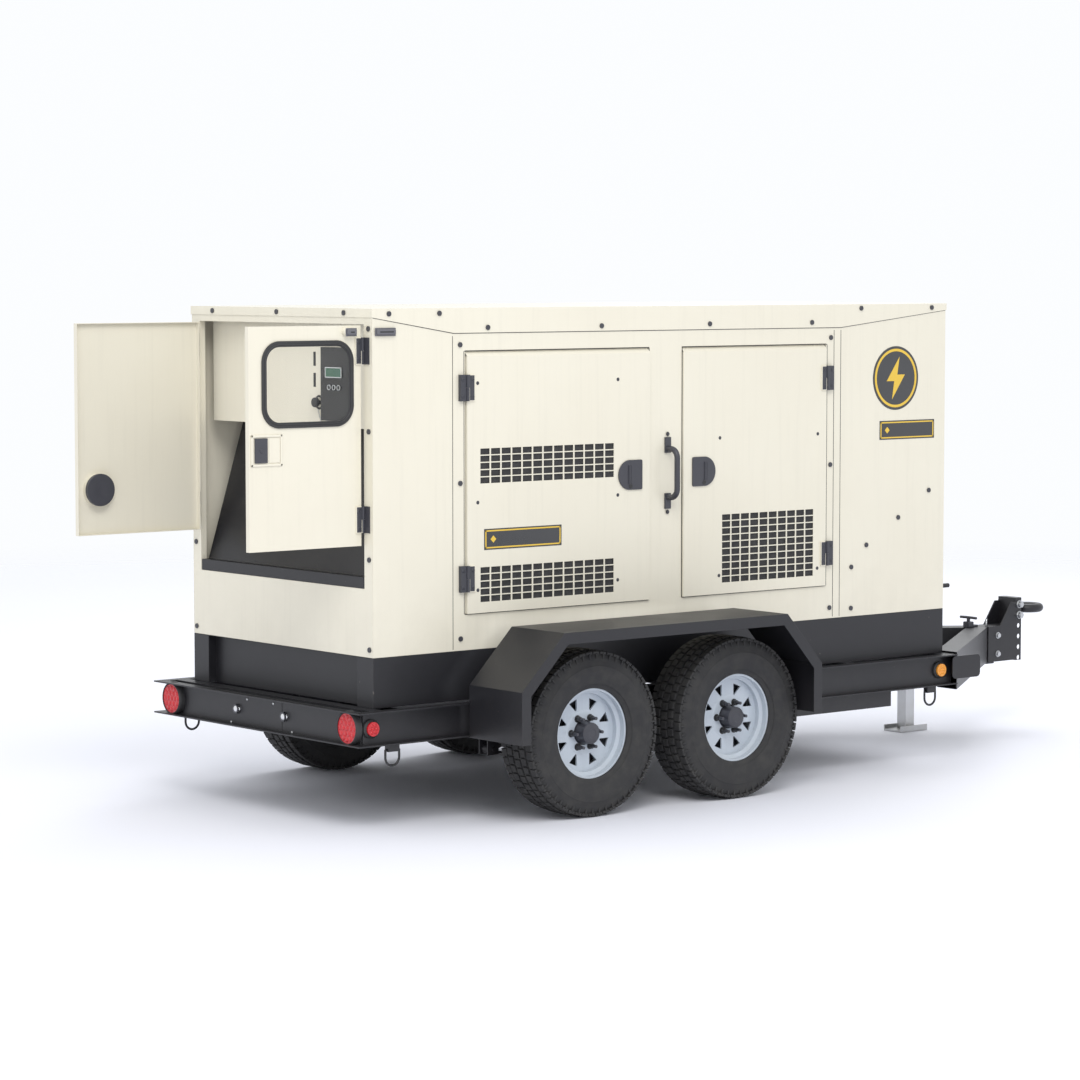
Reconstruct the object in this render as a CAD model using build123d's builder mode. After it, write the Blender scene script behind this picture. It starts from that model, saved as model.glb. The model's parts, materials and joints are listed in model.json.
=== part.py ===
from build123d import *
import itertools
import math
import os

# Towable diesel generator: +X is the tow direction, +Y the left side, +Z up from the ground.
# The origin is on the ground, in the middle of the overall length and width.

# Overall reaches along X, measured from the middle of the tandem axles
TOW_REACH = 3465.0
DOOR_REACH = 1990.0
BODY_BACK_REACH = 1340.0
BODY_FRONT_REACH = 2063.0
BUMPER_REACH = 1447.0
RAIL_FRONT_REACH = 2063.0
TANDEM_X = (DOOR_REACH - TOW_REACH) / 2

# Enclosure
BODY_HALF = 670.0
BODY_BOTTOM = 720.0
ROOF_TOP = 2179.0
SHEET = 3.0
SHEET_LAP = 3.0
CAP_CORNER_DROP = 37.0
CAP_SIDE_DROP = 106.0
CAP_FRONT_DROP = 31.0
CAP_LEVEL_BACK = -913.0
CAP_LEVEL_FRONT = 1368.0
RETURN_DEPTH = 30.0

# Side doors: back edge and front edge from the middle of the tandem
REAR_DOOR_SPAN = (-846.0, 186.0)
FRONT_DOOR_SPAN = (385.0, 1271.0)
SIDE_DOOR_Z = (876.0, ROOF_TOP - 185.0)
DOOR_GAP = 4.0
DOOR_PROUD = 10.0
DOOR_DEPTH = 28.0
DOOR_SLOPE = 20.0
GRILLE_OPEN_X = 0.87
GRILLE_OPEN_Z = 0.84

# Rear doors
REAR_OPEN_HALF = 609.0
REAR_OPEN_Z = (1007.0, ROOF_TOP - 66.0)
REAR_DOOR_Z = (1189.0, ROOF_TOP - 70.0)
REAR_HINGE_Y = 613.0
REAR_RIGHT_WIDTH = 567.0
REAR_DOOR_THICK = 24.0
CATCH_FROM_HINGE = 76.0
CATCH_DROP = 26.0
CATCH = (60.0, 34.0)
CATCH_RISE = 22.0
COVER_R = 69.0
COVER_RISE = 14.0
REAR_LATCH_Z = 1386.0
GASKET_T = 7.0
GASKET_LIP = 4.0
PANE_T = 6.0
PANE_IN = 8.0
PADDLE_FROM_TIP = (27.0, 89.0)
PADDLE_Z = (1553.0, 1654.0)
PADDLE_T = 7.0
PADDLE_LOCK_R = 9.0
WINDOW_X = (48.0, 512.0)
WINDOW_Z = (1692.0, 2049.0)
WINDOW_CORNER = 88.0
WINDOW_FRAME = 20.0

# Hinges
HINGE_W = 77.0
HINGE_H = 112.0
HINGE_T = 7.0
SIDE_HINGE_IN = (150.0, 154.0)
REAR_HINGE_IN = (110.0, 106.0)
KNUCKLE_R = 8.0
PIN_R = 3.0
RUNNING_GAP = 0.05
LEAF_CLEAR = 1.0

# Latches and handles
LATCH_R = 66.0
LATCH_FLAT = 72.0
LATCH_CORNER = 8.0
LATCH_T = 6.0
LATCH_GRIP = (22.0, 84.0)
LATCH_GRIP_OFF = 4.0
LATCH_RIDGE_W = 7.0
LATCH_RIDGE_RISE = 5.0
LATCH_FROM_EDGE = 122.0
REAR_LATCH_FROM_TIP = 107.0
LATCH_Z = 1436.0
GRAB_X = 295.0
GRAB_Z = (1276.0, 1596.0)
GRAB_STAND = 68.0
GRAB_R = 13.0
GRAB_FOOT = (17.0, 8.0, 70.0)
GRAB_BEND = 40.0
GRAB_FOOT_IN = 52.0

# Trailer frame
RAIL_TOP = 507.0
RAIL_BOTTOM = 363.0
WEB_Y = 729.0
FLANGE_W = 43.0
RAIL_T = 6.0
WELD_GAP = 0.5
SKIN_GAP = 0.2
CROSS_BOTTOM = 407.0
CROSS_W = 60.0
CROSS_AHEAD_REACH = 1400.0
BACK_CROSS_IN = 80.0
SUB_RAIL_W = 30.0
GUSSET = (190.0, 108.0, 22.0)
GUSSET_AHEAD = 60.0
GUSSET_RAISE = 9.0
SUB_RAIL = (800.0, 1657.0)
SUB_RAIL_BOTTOM = 286.0
TANK_WALL = 4.0
TANK_STEP = 40.0
TANK_POST_Y = 555.0
TANK_FILLER_IN = (250.0, 150.0)
TANK_FILLER_R = 60.0
OUTLET_Z = 1400.0
OUTLET_PITCH = (62.0, 46.0)
OUTLET_COUNT = (14, 15)
OUTLET_HOLE = (48.0, 34.0)

# Wheels, axles and springs
TYRE_R = 359.5
TYRE_HALF = 111.5
TRACK_HALF = 914.5
AXLE_HALF_SPACING = 420.0
RIM_SEAT_R = 190.0
RIM_FLANGE_R = 205.0
RIM_HALF = 76.0
RIM_T = 4.0
BORE_R = 55.0
SPINDLE_R = 22.0
HUB_R = 50.0
HUB_END = 86.0
STUD_PCD_R = 69.85
STUD_R = 7.0
STUDS = 6
SPOKE_HOLES = 8
SPOKE_HOLE_R = 124.0
SPOKE_HOLE_W = 46.0
DISC_OUT = 28.0
BEAM_R = 38.0
BEAM_Z = 290.0
SPRING_Y = 690.0
SPRING_W = 45.0
SPRING_HALF = 320.0
LEAF_T = 8.0
LEAF_SAG = 48.0
LEAVES = (320.0, 250.0, 180.0, 110.0)
EYE_R = 22.0
EYE_PIN_R = 8.0
EQUALIZER_Z = 335.0
EQUALIZER_ARM = 90.0
LINK_CLEAR = 4.5
HANGER_T = 6.0
HANGER_CLEAR = 3.0

# Fenders
FENDER_X = (-911.0, 820.0)
FENDER_TOP_X = (-680.0, 608.0)
FENDER_Z = (360.0, 585.0, 819.5)
FENDER_OUT = 1128.0
FENDER_T = 4.0
FENDER_SKIRT = 50.0

# Drawbar, coupler and jack
TUBE_W = 110.0
TUBE_Z = (336.0, 517.0)
TUBE_T = 6.0
APEX_X = 3029.0
APEX_Y = 60.0
COUPLER_X = 3230.0
COUPLER_HALF = 61.0
COUPLER_Z = (333.0, 655.0)
COUPLER_FLANGE = 42.0
COUPLER_T = 8.0
COUPLER_HOLE_R = 12.7
COUPLER_PITCH = 55.0
COUPLER_FIRST_Z = 346.0
COUPLER_HOLES = 6
EYE_BORE_R = 38.1
EYE_BAR_R = 22.5
EYE_LAND = 12.0
BOLT_R = 12.5
BOLT_TAIL = (22.0, 26.0)
WASHER_R = 20.0
WASHER_T = 4.0
BOLT_HEAD_R = 18.0
BOLT_HEAD_T = 14.0
EYE_WALL = 6.0
SHANK_HALF_Z = 20.0
SHANK_DROP = 30.0
SHANK_CHEEK = 8.0
BRACE_BACK = 90.0
BRACE_TIP = 30.0
BRACE_DROP = 20.0
JACK_X = 2640.0
JACK_Y = 142.0
JACK_TUBE = 72.0
JACK_LEG = 60.0
JACK_SLIDE_GAP = 0.5
JACK_TOP = 800.0
JACK_SLEEVE_BOTTOM = 250.0
JACK_LEG_TOP = 490.0
FOOT = (190.0, 120.0, 10.0)
CRANK_R = 8.0
CRANK_FROM_TOP = 60.0
CRANK_STANDOFF = 40.0
CRANK_ARM = 130.0
CRANK_BAR_HALF = 13.0
CRANK_GRIP = 90.0
CRANK_GRIP_R = 11.0
JACK_WALL = 4.0
JACK_BRACKET_IN = 30.0

# Lamps and tie rings
LAMP_R = 64.0
LAMP_Y = 660.0
LAMP_Z = 435.0
LAMP_T = 24.0
DOME_Y = (175.0, -180.0)
MARKER_R = 30.0
MARKER_T = 23.0
MARKER_X = (-1401.0, 1975.0)
RING_X = (-1302.0, 1898.0)
RING_Y = 748.0
RING_R = 36.0
RING_DROP = 32.0
RING_BAR = 5.0
RING_STRAP_HALF = 13.0
RING_STRAP_DROP = 8.0
RING_Z = 342.0

# Equipment inside
ENGINE_X = (-160.0, 860.0)
ALTERNATOR_X = (-820.0, -180.0)
CRANK_Z = 1060.0
BLOCK_HALF = 140.0
ENGINE_LAP = 10.0
BLOCK_Z = (840.0, 1260.0)
HEAD_HALF = 100.0
HEAD_TOP = 1420.0
SUMP_HALF = 120.0
ENGINE_FOOT_Y = 220.0
ENGINE_FOOT_R = 36.0
ENGINE_ARM = 80.0
ENGINE_ARM_Z = (900.0, 940.0)
CYLINDERS = 6
CYLINDER_PITCH = 140.0
FILLER_CAP_R = 34.0
SILENCER_X = (-100.0, 700.0)
SILENCER = (-330.0, 1500.0)
SILENCER_R = 80.0
EXHAUST_X = 300.0
EXHAUST_R = 40.0
EXHAUST_PORT = (-150.0, 1330.0)
BATTERY_X = (-40.0, 360.0)
BATTERY_Y = (330.0, 480.0)
BATTERY_TOP = 940.0
FAN_DRIVE_R = 60.0
FAN_SHAFT_R = 18.0
FAN_SHAFT_HALF = 60.0
FAN_HUB_R = 70.0
FAN_BLADE_W = 90.0
FAN_BLADE_T = 8.0
ALTERNATOR_R = 200.0
ALTERNATOR_NOSE = (60.0, 150.0)
ALTERNATOR_BOX_HALF = 180.0
ALTERNATOR_BOX_RISE = (80.0, 380.0)
ALTERNATOR_FOOT_Y = 200.0
ALTERNATOR_FOOT_HALF = 50.0
RADIATOR_HALF = 480.0
RADIATOR_TOP = 1700.0
CORE_HALF = 420.0
CORE_Z = (800.0, 1620.0)
CORE_DEPTH = 20.0
FINS = 20
FIN_HALF = 4.0
FAN_X = 1000.0
FAN_R = 330.0
FAN_BLADES = 8
RADIATOR_X = (1150.0, 1260.0)
CONTROL_X = (-1270.0, -900.0)
CONTROL_BOTTOM = 1672.0
MODULE_Y = (-440.0, -237.0)
MODULE_Z = (1700.0, 2012.0)
STOP_Y = -196.0
STOP_Z = 1775.0
STOP_HOLE_R = 11.0
STOP_STEM = (-18.0, 16.0)
STOP_STEM_R = 9.0
STOP_KNOB = (-30.0, -14.0)
STOP_KNOB_R = 21.0
STOP_ROUND = 5.0
MODULE_T = 22.0
SCREEN_INSET = (50.0, 40.0)
SCREEN_Z = (1885.0, 1925.0)
SCREEN_DEPTH = 2.0
KEY_Z = 1842.0
KEY_PITCH = 34.0
KEY_R = 11.0
KEY_RISE = 3.0
BAFFLE_LIP = 49.0
BAFFLE_TOP_REACH = -1110.0
BAFFLE_SHELF = 36.0

os.makedirs("parts", exist_ok=True)


def block(x, y, z, mode=Mode.ADD):
    """A box between two corners, given as a span along each axis."""
    sizes = [abs(b - a) for a, b in (x, y, z)]
    middle = [(a + b) / 2 for a, b in (x, y, z)]
    with Locations(tuple(middle)):
        return Box(*sizes, mode=mode)


def rod(start, end, radius, mode=Mode.ADD):
    """A round bar from one point to another."""
    line = Vector(*end) - Vector(*start)
    with BuildSketch(Plane(origin=start, z_dir=line)) as face:
        Circle(radius)
    extrude(face.sketch, amount=line.length, mode=mode)


def prism(points, plane, depth, mode=Mode.ADD):
    """A polygon on a plane, pulled out along the plane's normal."""
    with BuildSketch(plane) as face:
        with BuildLine():
            Polyline(*points, close=True)
        make_face()
    extrude(face.sketch, amount=depth, mode=mode)


def turned(profile, centre, axis, mode=Mode.ADD):
    """A profile of (along axis, radius) points turned about an axis through centre."""
    plane = Plane(origin=centre, x_dir=axis, z_dir=Vector(0, 0, 1).cross(Vector(*axis)))
    with BuildSketch(plane) as face:
        with BuildLine():
            Polyline(*profile, close=True)
        make_face()
    revolve(face.sketch, axis=Axis(centre, axis), mode=mode)


def side_plane(y):
    """A plane facing -Y, with X across and Z up."""
    return Plane.XZ.offset(-y)


def save(built, name):
    """Labels a finished piece and writes its STEP file."""
    built.part.label = name
    export_step(built.part, f"parts/{name}.step")


def at(reach):
    """A place along X from its distance to the middle of the tandem."""
    return TANDEM_X + reach


BODY_BACK = at(-BODY_BACK_REACH)
BODY_FRONT = at(BODY_FRONT_REACH)
BUMPER = at(-BUMPER_REACH)
RAIL_FRONT = at(RAIL_FRONT_REACH)
FLANGE_Y = WEB_Y + FLANGE_W
SIDES = {"right": -1, "left": 1}
RING_STRAP = RING_R - RING_BAR - 2 * LEAF_CLEAR
AXLES = {"front": AXLE_HALF_SPACING, "rear": -AXLE_HALF_SPACING}
HANGER_X = AXLE_HALF_SPACING + SPRING_HALF
APEX = at(APEX_X)
DRAW_SLOPE = (FLANGE_Y - APEX_Y) / (APEX - RAIL_FRONT)
DRAW_ANGLE = math.atan(DRAW_SLOPE)
TUBE_ACROSS = TUBE_W / math.cos(DRAW_ANGLE)
SIDE_HINGE_Z = (SIDE_DOOR_Z[0] + SIDE_HINGE_IN[0], SIDE_DOOR_Z[1] - SIDE_HINGE_IN[1])
REAR_HINGE_Z = (REAR_DOOR_Z[0] + REAR_HINGE_IN[0], REAR_DOOR_Z[1] - REAR_HINGE_IN[1])
DOOR_SPANS = {"rear": REAR_DOOR_SPAN, "front": FRONT_DOOR_SPAN}
REAR_LEFT_WIDTH = DOOR_REACH - BODY_BACK_REACH - 2 * KNUCKLE_R

# ---------------------------------------------------------------- trailer frame
with BuildPart() as trailer_frame:
    for s in SIDES.values():
        web_in = s * (WEB_Y - RAIL_T)
        block((BUMPER + RAIL_T + WELD_GAP, RAIL_FRONT), (web_in, s * WEB_Y), (RAIL_BOTTOM, RAIL_TOP))
        flange = [
            (BUMPER + WELD_GAP, s * WEB_Y),
            (BUMPER - FLANGE_W + WELD_GAP, s * FLANGE_Y),
            (RAIL_FRONT, s * FLANGE_Y),
            (RAIL_FRONT, s * WEB_Y),
        ]
        for z in (RAIL_BOTTOM, RAIL_TOP - RAIL_T):
            prism(flange, Plane.XY.offset(z), RAIL_T)
        block(
            (at(SUB_RAIL[0]), at(SUB_RAIL[1])),
            (s * (WEB_Y - SUB_RAIL_W), s * WEB_Y),
            (SUB_RAIL_BOTTOM, RAIL_BOTTOM - WELD_GAP),
        )
        with BuildSketch(side_plane(s * (FLANGE_Y - RAIL_T))) as gusset:
            with Locations((RAIL_FRONT + GUSSET_AHEAD, LAMP_Z + GUSSET_RAISE)):
                RectangleRounded(*GUSSET)
        extrude(gusset.sketch, amount=-s * (RAIL_T - WELD_GAP))
        for x in RING_X:
            block(
                (at(x) - RING_STRAP, at(x) + RING_STRAP),
                (s * (RING_Y - RING_STRAP_HALF), s * (RING_Y + RING_STRAP_HALF)),
                (RING_Z - RING_STRAP_DROP, RAIL_BOTTOM - WELD_GAP),
            )
            rod(
                (at(x) - RING_STRAP, s * RING_Y, RING_Z),
                (at(x) + RING_STRAP, s * RING_Y, RING_Z),
                RING_BAR + LEAF_CLEAR,
                mode=Mode.SUBTRACT,
            )
    block((BUMPER, BUMPER + RAIL_T), (-WEB_Y + RAIL_T, WEB_Y - RAIL_T), (RAIL_BOTTOM, RAIL_TOP))
    for z in (RAIL_BOTTOM, RAIL_TOP - RAIL_T):
        rear_flange = [
            (BUMPER, -WEB_Y + WELD_GAP),
            (BUMPER - FLANGE_W, -FLANGE_Y + WELD_GAP),
            (BUMPER - FLANGE_W, FLANGE_Y - WELD_GAP),
            (BUMPER, WEB_Y - WELD_GAP),
        ]
        prism(rear_flange, Plane.XY.offset(z), RAIL_T)
    cross_y = WEB_Y - RAIL_T - WELD_GAP
    cross_reaches = (
        -BUMPER_REACH + BACK_CROSS_IN,
        -HANGER_X,
        0,
        HANGER_X,
        CROSS_AHEAD_REACH,
        RAIL_FRONT_REACH - CROSS_W / 2,
    )
    for x in cross_reaches:
        block((at(x) - CROSS_W / 2, at(x) + CROSS_W / 2), (-cross_y, cross_y), (CROSS_BOTTOM, RAIL_TOP))
        block(
            (at(x) - CROSS_W / 2 + RAIL_T, at(x) + CROSS_W / 2),
            (-cross_y, cross_y),
            (CROSS_BOTTOM + RAIL_T, RAIL_TOP - RAIL_T),
            mode=Mode.SUBTRACT,
        )
save(trailer_frame, "trailer_frame")

# ---------------------------------------------------------------- drawbar
with BuildPart() as drawbar:
    for s in SIDES.values():
        back = RAIL_FRONT + WELD_GAP
        nose_x = APEX + (APEX_Y - WELD_GAP / 2 - TUBE_ACROSS) / DRAW_SLOPE
        outline = [
            (back, s * (FLANGE_Y - RAIL_T - WELD_GAP)),
            (APEX, s * (APEX_Y - RAIL_T)),
            (APEX, s * WELD_GAP),
            (nose_x, s * WELD_GAP),
            (back, s * (FLANGE_Y - TUBE_ACROSS)),
        ]
        prism(outline, Plane.XY.offset(TUBE_Z[0]), TUBE_Z[1] - TUBE_Z[0])
        inset = TUBE_T / math.cos(DRAW_ANGLE)
        hollow = [
            (back, s * (FLANGE_Y - RAIL_T - inset)),
            (nose_x, s * (FLANGE_Y - RAIL_T - inset - DRAW_SLOPE * (nose_x - back))),
            (nose_x, s * (FLANGE_Y - TUBE_ACROSS + inset - DRAW_SLOPE * (nose_x - back))),
            (back, s * (FLANGE_Y - TUBE_ACROSS + inset)),
        ]
        prism(hollow, Plane.XY.offset(TUBE_Z[0] + TUBE_T), TUBE_Z[1] - TUBE_Z[0] - 2 * TUBE_T, mode=Mode.SUBTRACT)
save(drawbar, "drawbar")

with BuildPart() as coupler_channel:
    plate_x = (APEX + WELD_GAP, at(COUPLER_X))
    for s in SIDES.values():
        outer = s * (COUPLER_HALF - COUPLER_T)
        block(plate_x, (outer, outer + s * COUPLER_T), TUBE_Z)
        block((at(COUPLER_X), at(COUPLER_X) + COUPLER_FLANGE), (outer, outer + s * COUPLER_T), COUPLER_Z)
    block((at(COUPLER_X), at(COUPLER_X) + COUPLER_T), (-COUPLER_HALF, COUPLER_HALF), COUPLER_Z)
    block((APEX + WELD_GAP, at(COUPLER_X)), (-COUPLER_HALF, COUPLER_HALF), (TUBE_Z[1] - COUPLER_T, TUBE_Z[1]))
    brace = [
        (APEX + BRACE_BACK, TUBE_Z[1]),
        (at(COUPLER_X), TUBE_Z[1]),
        (at(COUPLER_X), COUPLER_Z[1] - BRACE_DROP),
        (at(COUPLER_X) - BRACE_TIP, COUPLER_Z[1] - BRACE_DROP),
    ]
    for y in (-COUPLER_HALF + COUPLER_T, COUPLER_HALF):
        prism(brace, side_plane(y), COUPLER_T)
    for k in range(COUPLER_HOLES):
        z = COUPLER_FIRST_Z + k * COUPLER_PITCH
        x = at(COUPLER_X) + COUPLER_T + (COUPLER_FLANGE - COUPLER_T) / 2
        rod((x, -2 * COUPLER_HALF, z), (x, 2 * COUPLER_HALF, z), COUPLER_HOLE_R, mode=Mode.SUBTRACT)
save(coupler_channel, "coupler_channel")

BOLT_X = at(COUPLER_X) + COUPLER_T + (COUPLER_FLANGE - COUPLER_T) / 2
BOLT_Z = [COUPLER_FIRST_Z + k * COUPLER_PITCH for k in (COUPLER_HOLES - 2, COUPLER_HOLES - 1)]
EYE_X = at(TOW_REACH) - EYE_BORE_R - 2 * EYE_BAR_R
EYE_Z = sum(BOLT_Z) / 2
with BuildPart() as tow_eye:
    with BuildSketch(Plane.XZ.offset(0)) as bar:
        with Locations((EYE_X + EYE_BORE_R + EYE_BAR_R, EYE_Z)):
            Circle(EYE_BAR_R)
    revolve(bar.sketch, axis=Axis((EYE_X, 0, EYE_Z), (0, 0, 1)))
    rod((EYE_X, 0, EYE_Z - EYE_LAND), (EYE_X, 0, EYE_Z + EYE_LAND), EYE_BORE_R + EYE_WALL)
    shank_y = COUPLER_HALF - COUPLER_T - WELD_GAP
    shank_back = at(COUPLER_X) + COUPLER_T + WELD_GAP
    shank_front = at(COUPLER_X) + COUPLER_FLANGE + EYE_WALL
    block((shank_back, shank_front), (-shank_y, shank_y), (BOLT_Z[0] - SHANK_DROP, COUPLER_Z[1]))
    cheek = EYE_BAR_R + SHANK_CHEEK
    block(
        (shank_front, EYE_X - EYE_BORE_R - EYE_WALL),
        (-cheek, cheek),
        (EYE_Z - SHANK_HALF_Z, EYE_Z + SHANK_HALF_Z),
    )
    rod((EYE_X, 0, EYE_Z - 2 * EYE_BAR_R), (EYE_X, 0, EYE_Z + 2 * EYE_BAR_R), EYE_BORE_R, mode=Mode.SUBTRACT)
    for z in BOLT_Z:
        rod((BOLT_X, -shank_y - 1, z), (BOLT_X, shank_y + 1, z), COUPLER_HOLE_R, mode=Mode.SUBTRACT)
save(tow_eye, "tow_eye")

with BuildPart() as coupler_bolts:
    for z in BOLT_Z:
        rod((BOLT_X, -COUPLER_HALF - BOLT_TAIL[0], z), (BOLT_X, COUPLER_HALF + BOLT_TAIL[1], z), BOLT_R)
        for s in SIDES.values():
            rod((BOLT_X, s * COUPLER_HALF, z), (BOLT_X, s * (COUPLER_HALF + WASHER_T), z), WASHER_R)
            with BuildSketch(side_plane(s * (COUPLER_HALF + WASHER_T))) as head:
                with Locations((BOLT_X, z)):
                    RegularPolygon(BOLT_HEAD_R, 6)
            extrude(head.sketch, amount=-s * BOLT_HEAD_T)
save(coupler_bolts, "coupler_bolts")

# ---------------------------------------------------------------- jack
with BuildPart() as jack_sleeve:
    half = JACK_TUBE / 2
    inner = JACK_LEG / 2 + JACK_SLIDE_GAP
    jack = (at(JACK_X), JACK_Y)
    block((jack[0] - half, jack[0] + half), (jack[1] - half, jack[1] + half), (JACK_SLEEVE_BOTTOM, JACK_TOP))
    block(
        (jack[0] - inner, jack[0] + inner),
        (jack[1] - inner, jack[1] + inner),
        (JACK_SLEEVE_BOTTOM, JACK_TOP - RAIL_T),
        mode=Mode.SUBTRACT,
    )
    tube_inner_y = FLANGE_Y - TUBE_ACROSS - DRAW_SLOPE * (jack[0] + half - RAIL_FRONT)
    block(
        (jack[0] - half, jack[0] + half),
        (jack[1] + half, tube_inner_y - WELD_GAP),
        (TUBE_Z[0] + JACK_BRACKET_IN, TUBE_Z[1] - JACK_BRACKET_IN),
    )
    crank_z = JACK_TOP - CRANK_FROM_TOP
    rod(
        (jack[0] + inner - 1, jack[1], crank_z),
        (jack[0] + half + 1, jack[1], crank_z),
        CRANK_R + RUNNING_GAP,
        mode=Mode.SUBTRACT,
    )
save(jack_sleeve, "jack_sleeve")

with BuildPart() as jack_leg:
    leg = JACK_LEG / 2
    block((jack[0] - leg, jack[0] + leg), (jack[1] - leg, jack[1] + leg), (FOOT[2], JACK_LEG_TOP))
    block(
        (jack[0] - leg + JACK_WALL, jack[0] + leg - JACK_WALL),
        (jack[1] - leg + JACK_WALL, jack[1] + leg - JACK_WALL),
        (FOOT[2] + RAIL_T, JACK_LEG_TOP),
        mode=Mode.SUBTRACT,
    )
    block(
        (jack[0] - FOOT[0] / 2, jack[0] + FOOT[0] / 2),
        (jack[1] - FOOT[1] / 2, jack[1] + FOOT[1] / 2),
        (0, FOOT[2]),
    )
    for s in SIDES.values():
        lip = jack[1] + s * FOOT[1] / 2
        block((jack[0] - FOOT[0] / 2, jack[0] + FOOT[0] / 2), (lip, lip - s * RAIL_T), (0, 3 * FOOT[2]))
save(jack_leg, "jack_leg")

with BuildPart() as jack_crank:
    hub_x = jack[0] + half
    arm_x = hub_x + CRANK_STANDOFF
    rod((hub_x - CRANK_STANDOFF / 2, jack[1], crank_z), (arm_x, jack[1], crank_z), CRANK_R)
    arm_y = (jack[1] - CRANK_ARM - CRANK_BAR_HALF, jack[1] + CRANK_BAR_HALF)
    block((arm_x - SHEET, arm_x + SHEET), arm_y, (crank_z - CRANK_BAR_HALF, crank_z + CRANK_BAR_HALF))
    grip = (jack[1] - CRANK_ARM, crank_z)
    rod((arm_x, *grip), (arm_x + CRANK_GRIP, *grip), CRANK_GRIP_R)
save(jack_crank, "jack_crank")

# ---------------------------------------------------------------- fenders
def fender_outline(side_mode, depth, y):
    """Adds the folded fender section as a solid slab, from y outwards by depth."""
    points = [
        (at(FENDER_X[0]), FENDER_Z[0]),
        (at(FENDER_X[0]), FENDER_Z[1]),
        (at(FENDER_TOP_X[0]), FENDER_Z[2]),
        (at(FENDER_TOP_X[1]), FENDER_Z[2]),
        (at(FENDER_X[1]), FENDER_Z[1]),
        (at(FENDER_X[1]), FENDER_Z[0]),
    ]
    with BuildSketch(side_plane(y)) as face:
        with BuildLine():
            Polyline(*points, close=True)
        make_face()
    with BuildSketch(side_plane(y)) as inside:
        with BuildLine():
            Polyline(*points, close=True)
        make_face()
        offset(amount=-side_mode, kind=Kind.INTERSECTION)
        with Locations((at((FENDER_X[0] + FENDER_X[1]) / 2), FENDER_Z[0])):
            Rectangle(FENDER_X[1] - FENDER_X[0] - 2 * side_mode, 4 * side_mode)
    extrude(face.sketch - inside.sketch, amount=depth)


with BuildPart() as fenders:
    fender_outline(FENDER_T, FENDER_OUT - FLANGE_Y - WELD_GAP, -FLANGE_Y - WELD_GAP)
    fender_outline(FENDER_SKIRT, FENDER_T, -FENDER_OUT + FENDER_T)
    mirror(about=Plane.XZ)
save(fenders, "fenders")

# ---------------------------------------------------------------- springs, axles and equalizers
with BuildPart() as spring_hangers:
    for s in SIDES.values():
        for x, z in ((-HANGER_X, BEAM_Z), (0, EQUALIZER_Z), (HANGER_X, BEAM_Z)):
            for side in (-1, 1):
                near = s * SPRING_Y + side * (SPRING_W / 2 + HANGER_CLEAR)
                block(
                    (at(x) - 30, at(x) + 30), (near, near + side * HANGER_T), (z - 24, CROSS_BOTTOM - WELD_GAP)
                )
            reach = SPRING_W / 2 + HANGER_CLEAR + HANGER_T + 8
            rod((at(x), s * SPRING_Y - reach, z), (at(x), s * SPRING_Y + reach, z), EYE_PIN_R)
save(spring_hangers, "spring_hangers")

with BuildPart() as equalizers:
    for s in SIDES.values():
        with BuildSketch(side_plane(s * SPRING_Y + 15)) as rocker:
            with Locations((at(0), EQUALIZER_Z)):
                SlotCenterToCenter(2 * EQUALIZER_ARM, 2 * EYE_R)
                Circle(EYE_R + 4)
                Circle(EYE_PIN_R + RUNNING_GAP, mode=Mode.SUBTRACT)
            for x in (-EQUALIZER_ARM, EQUALIZER_ARM):
                with Locations((at(x), EQUALIZER_Z)):
                    Circle(EYE_PIN_R + LINK_CLEAR, mode=Mode.SUBTRACT)
        extrude(rocker.sketch, amount=30)
save(equalizers, "equalizers")

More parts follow.
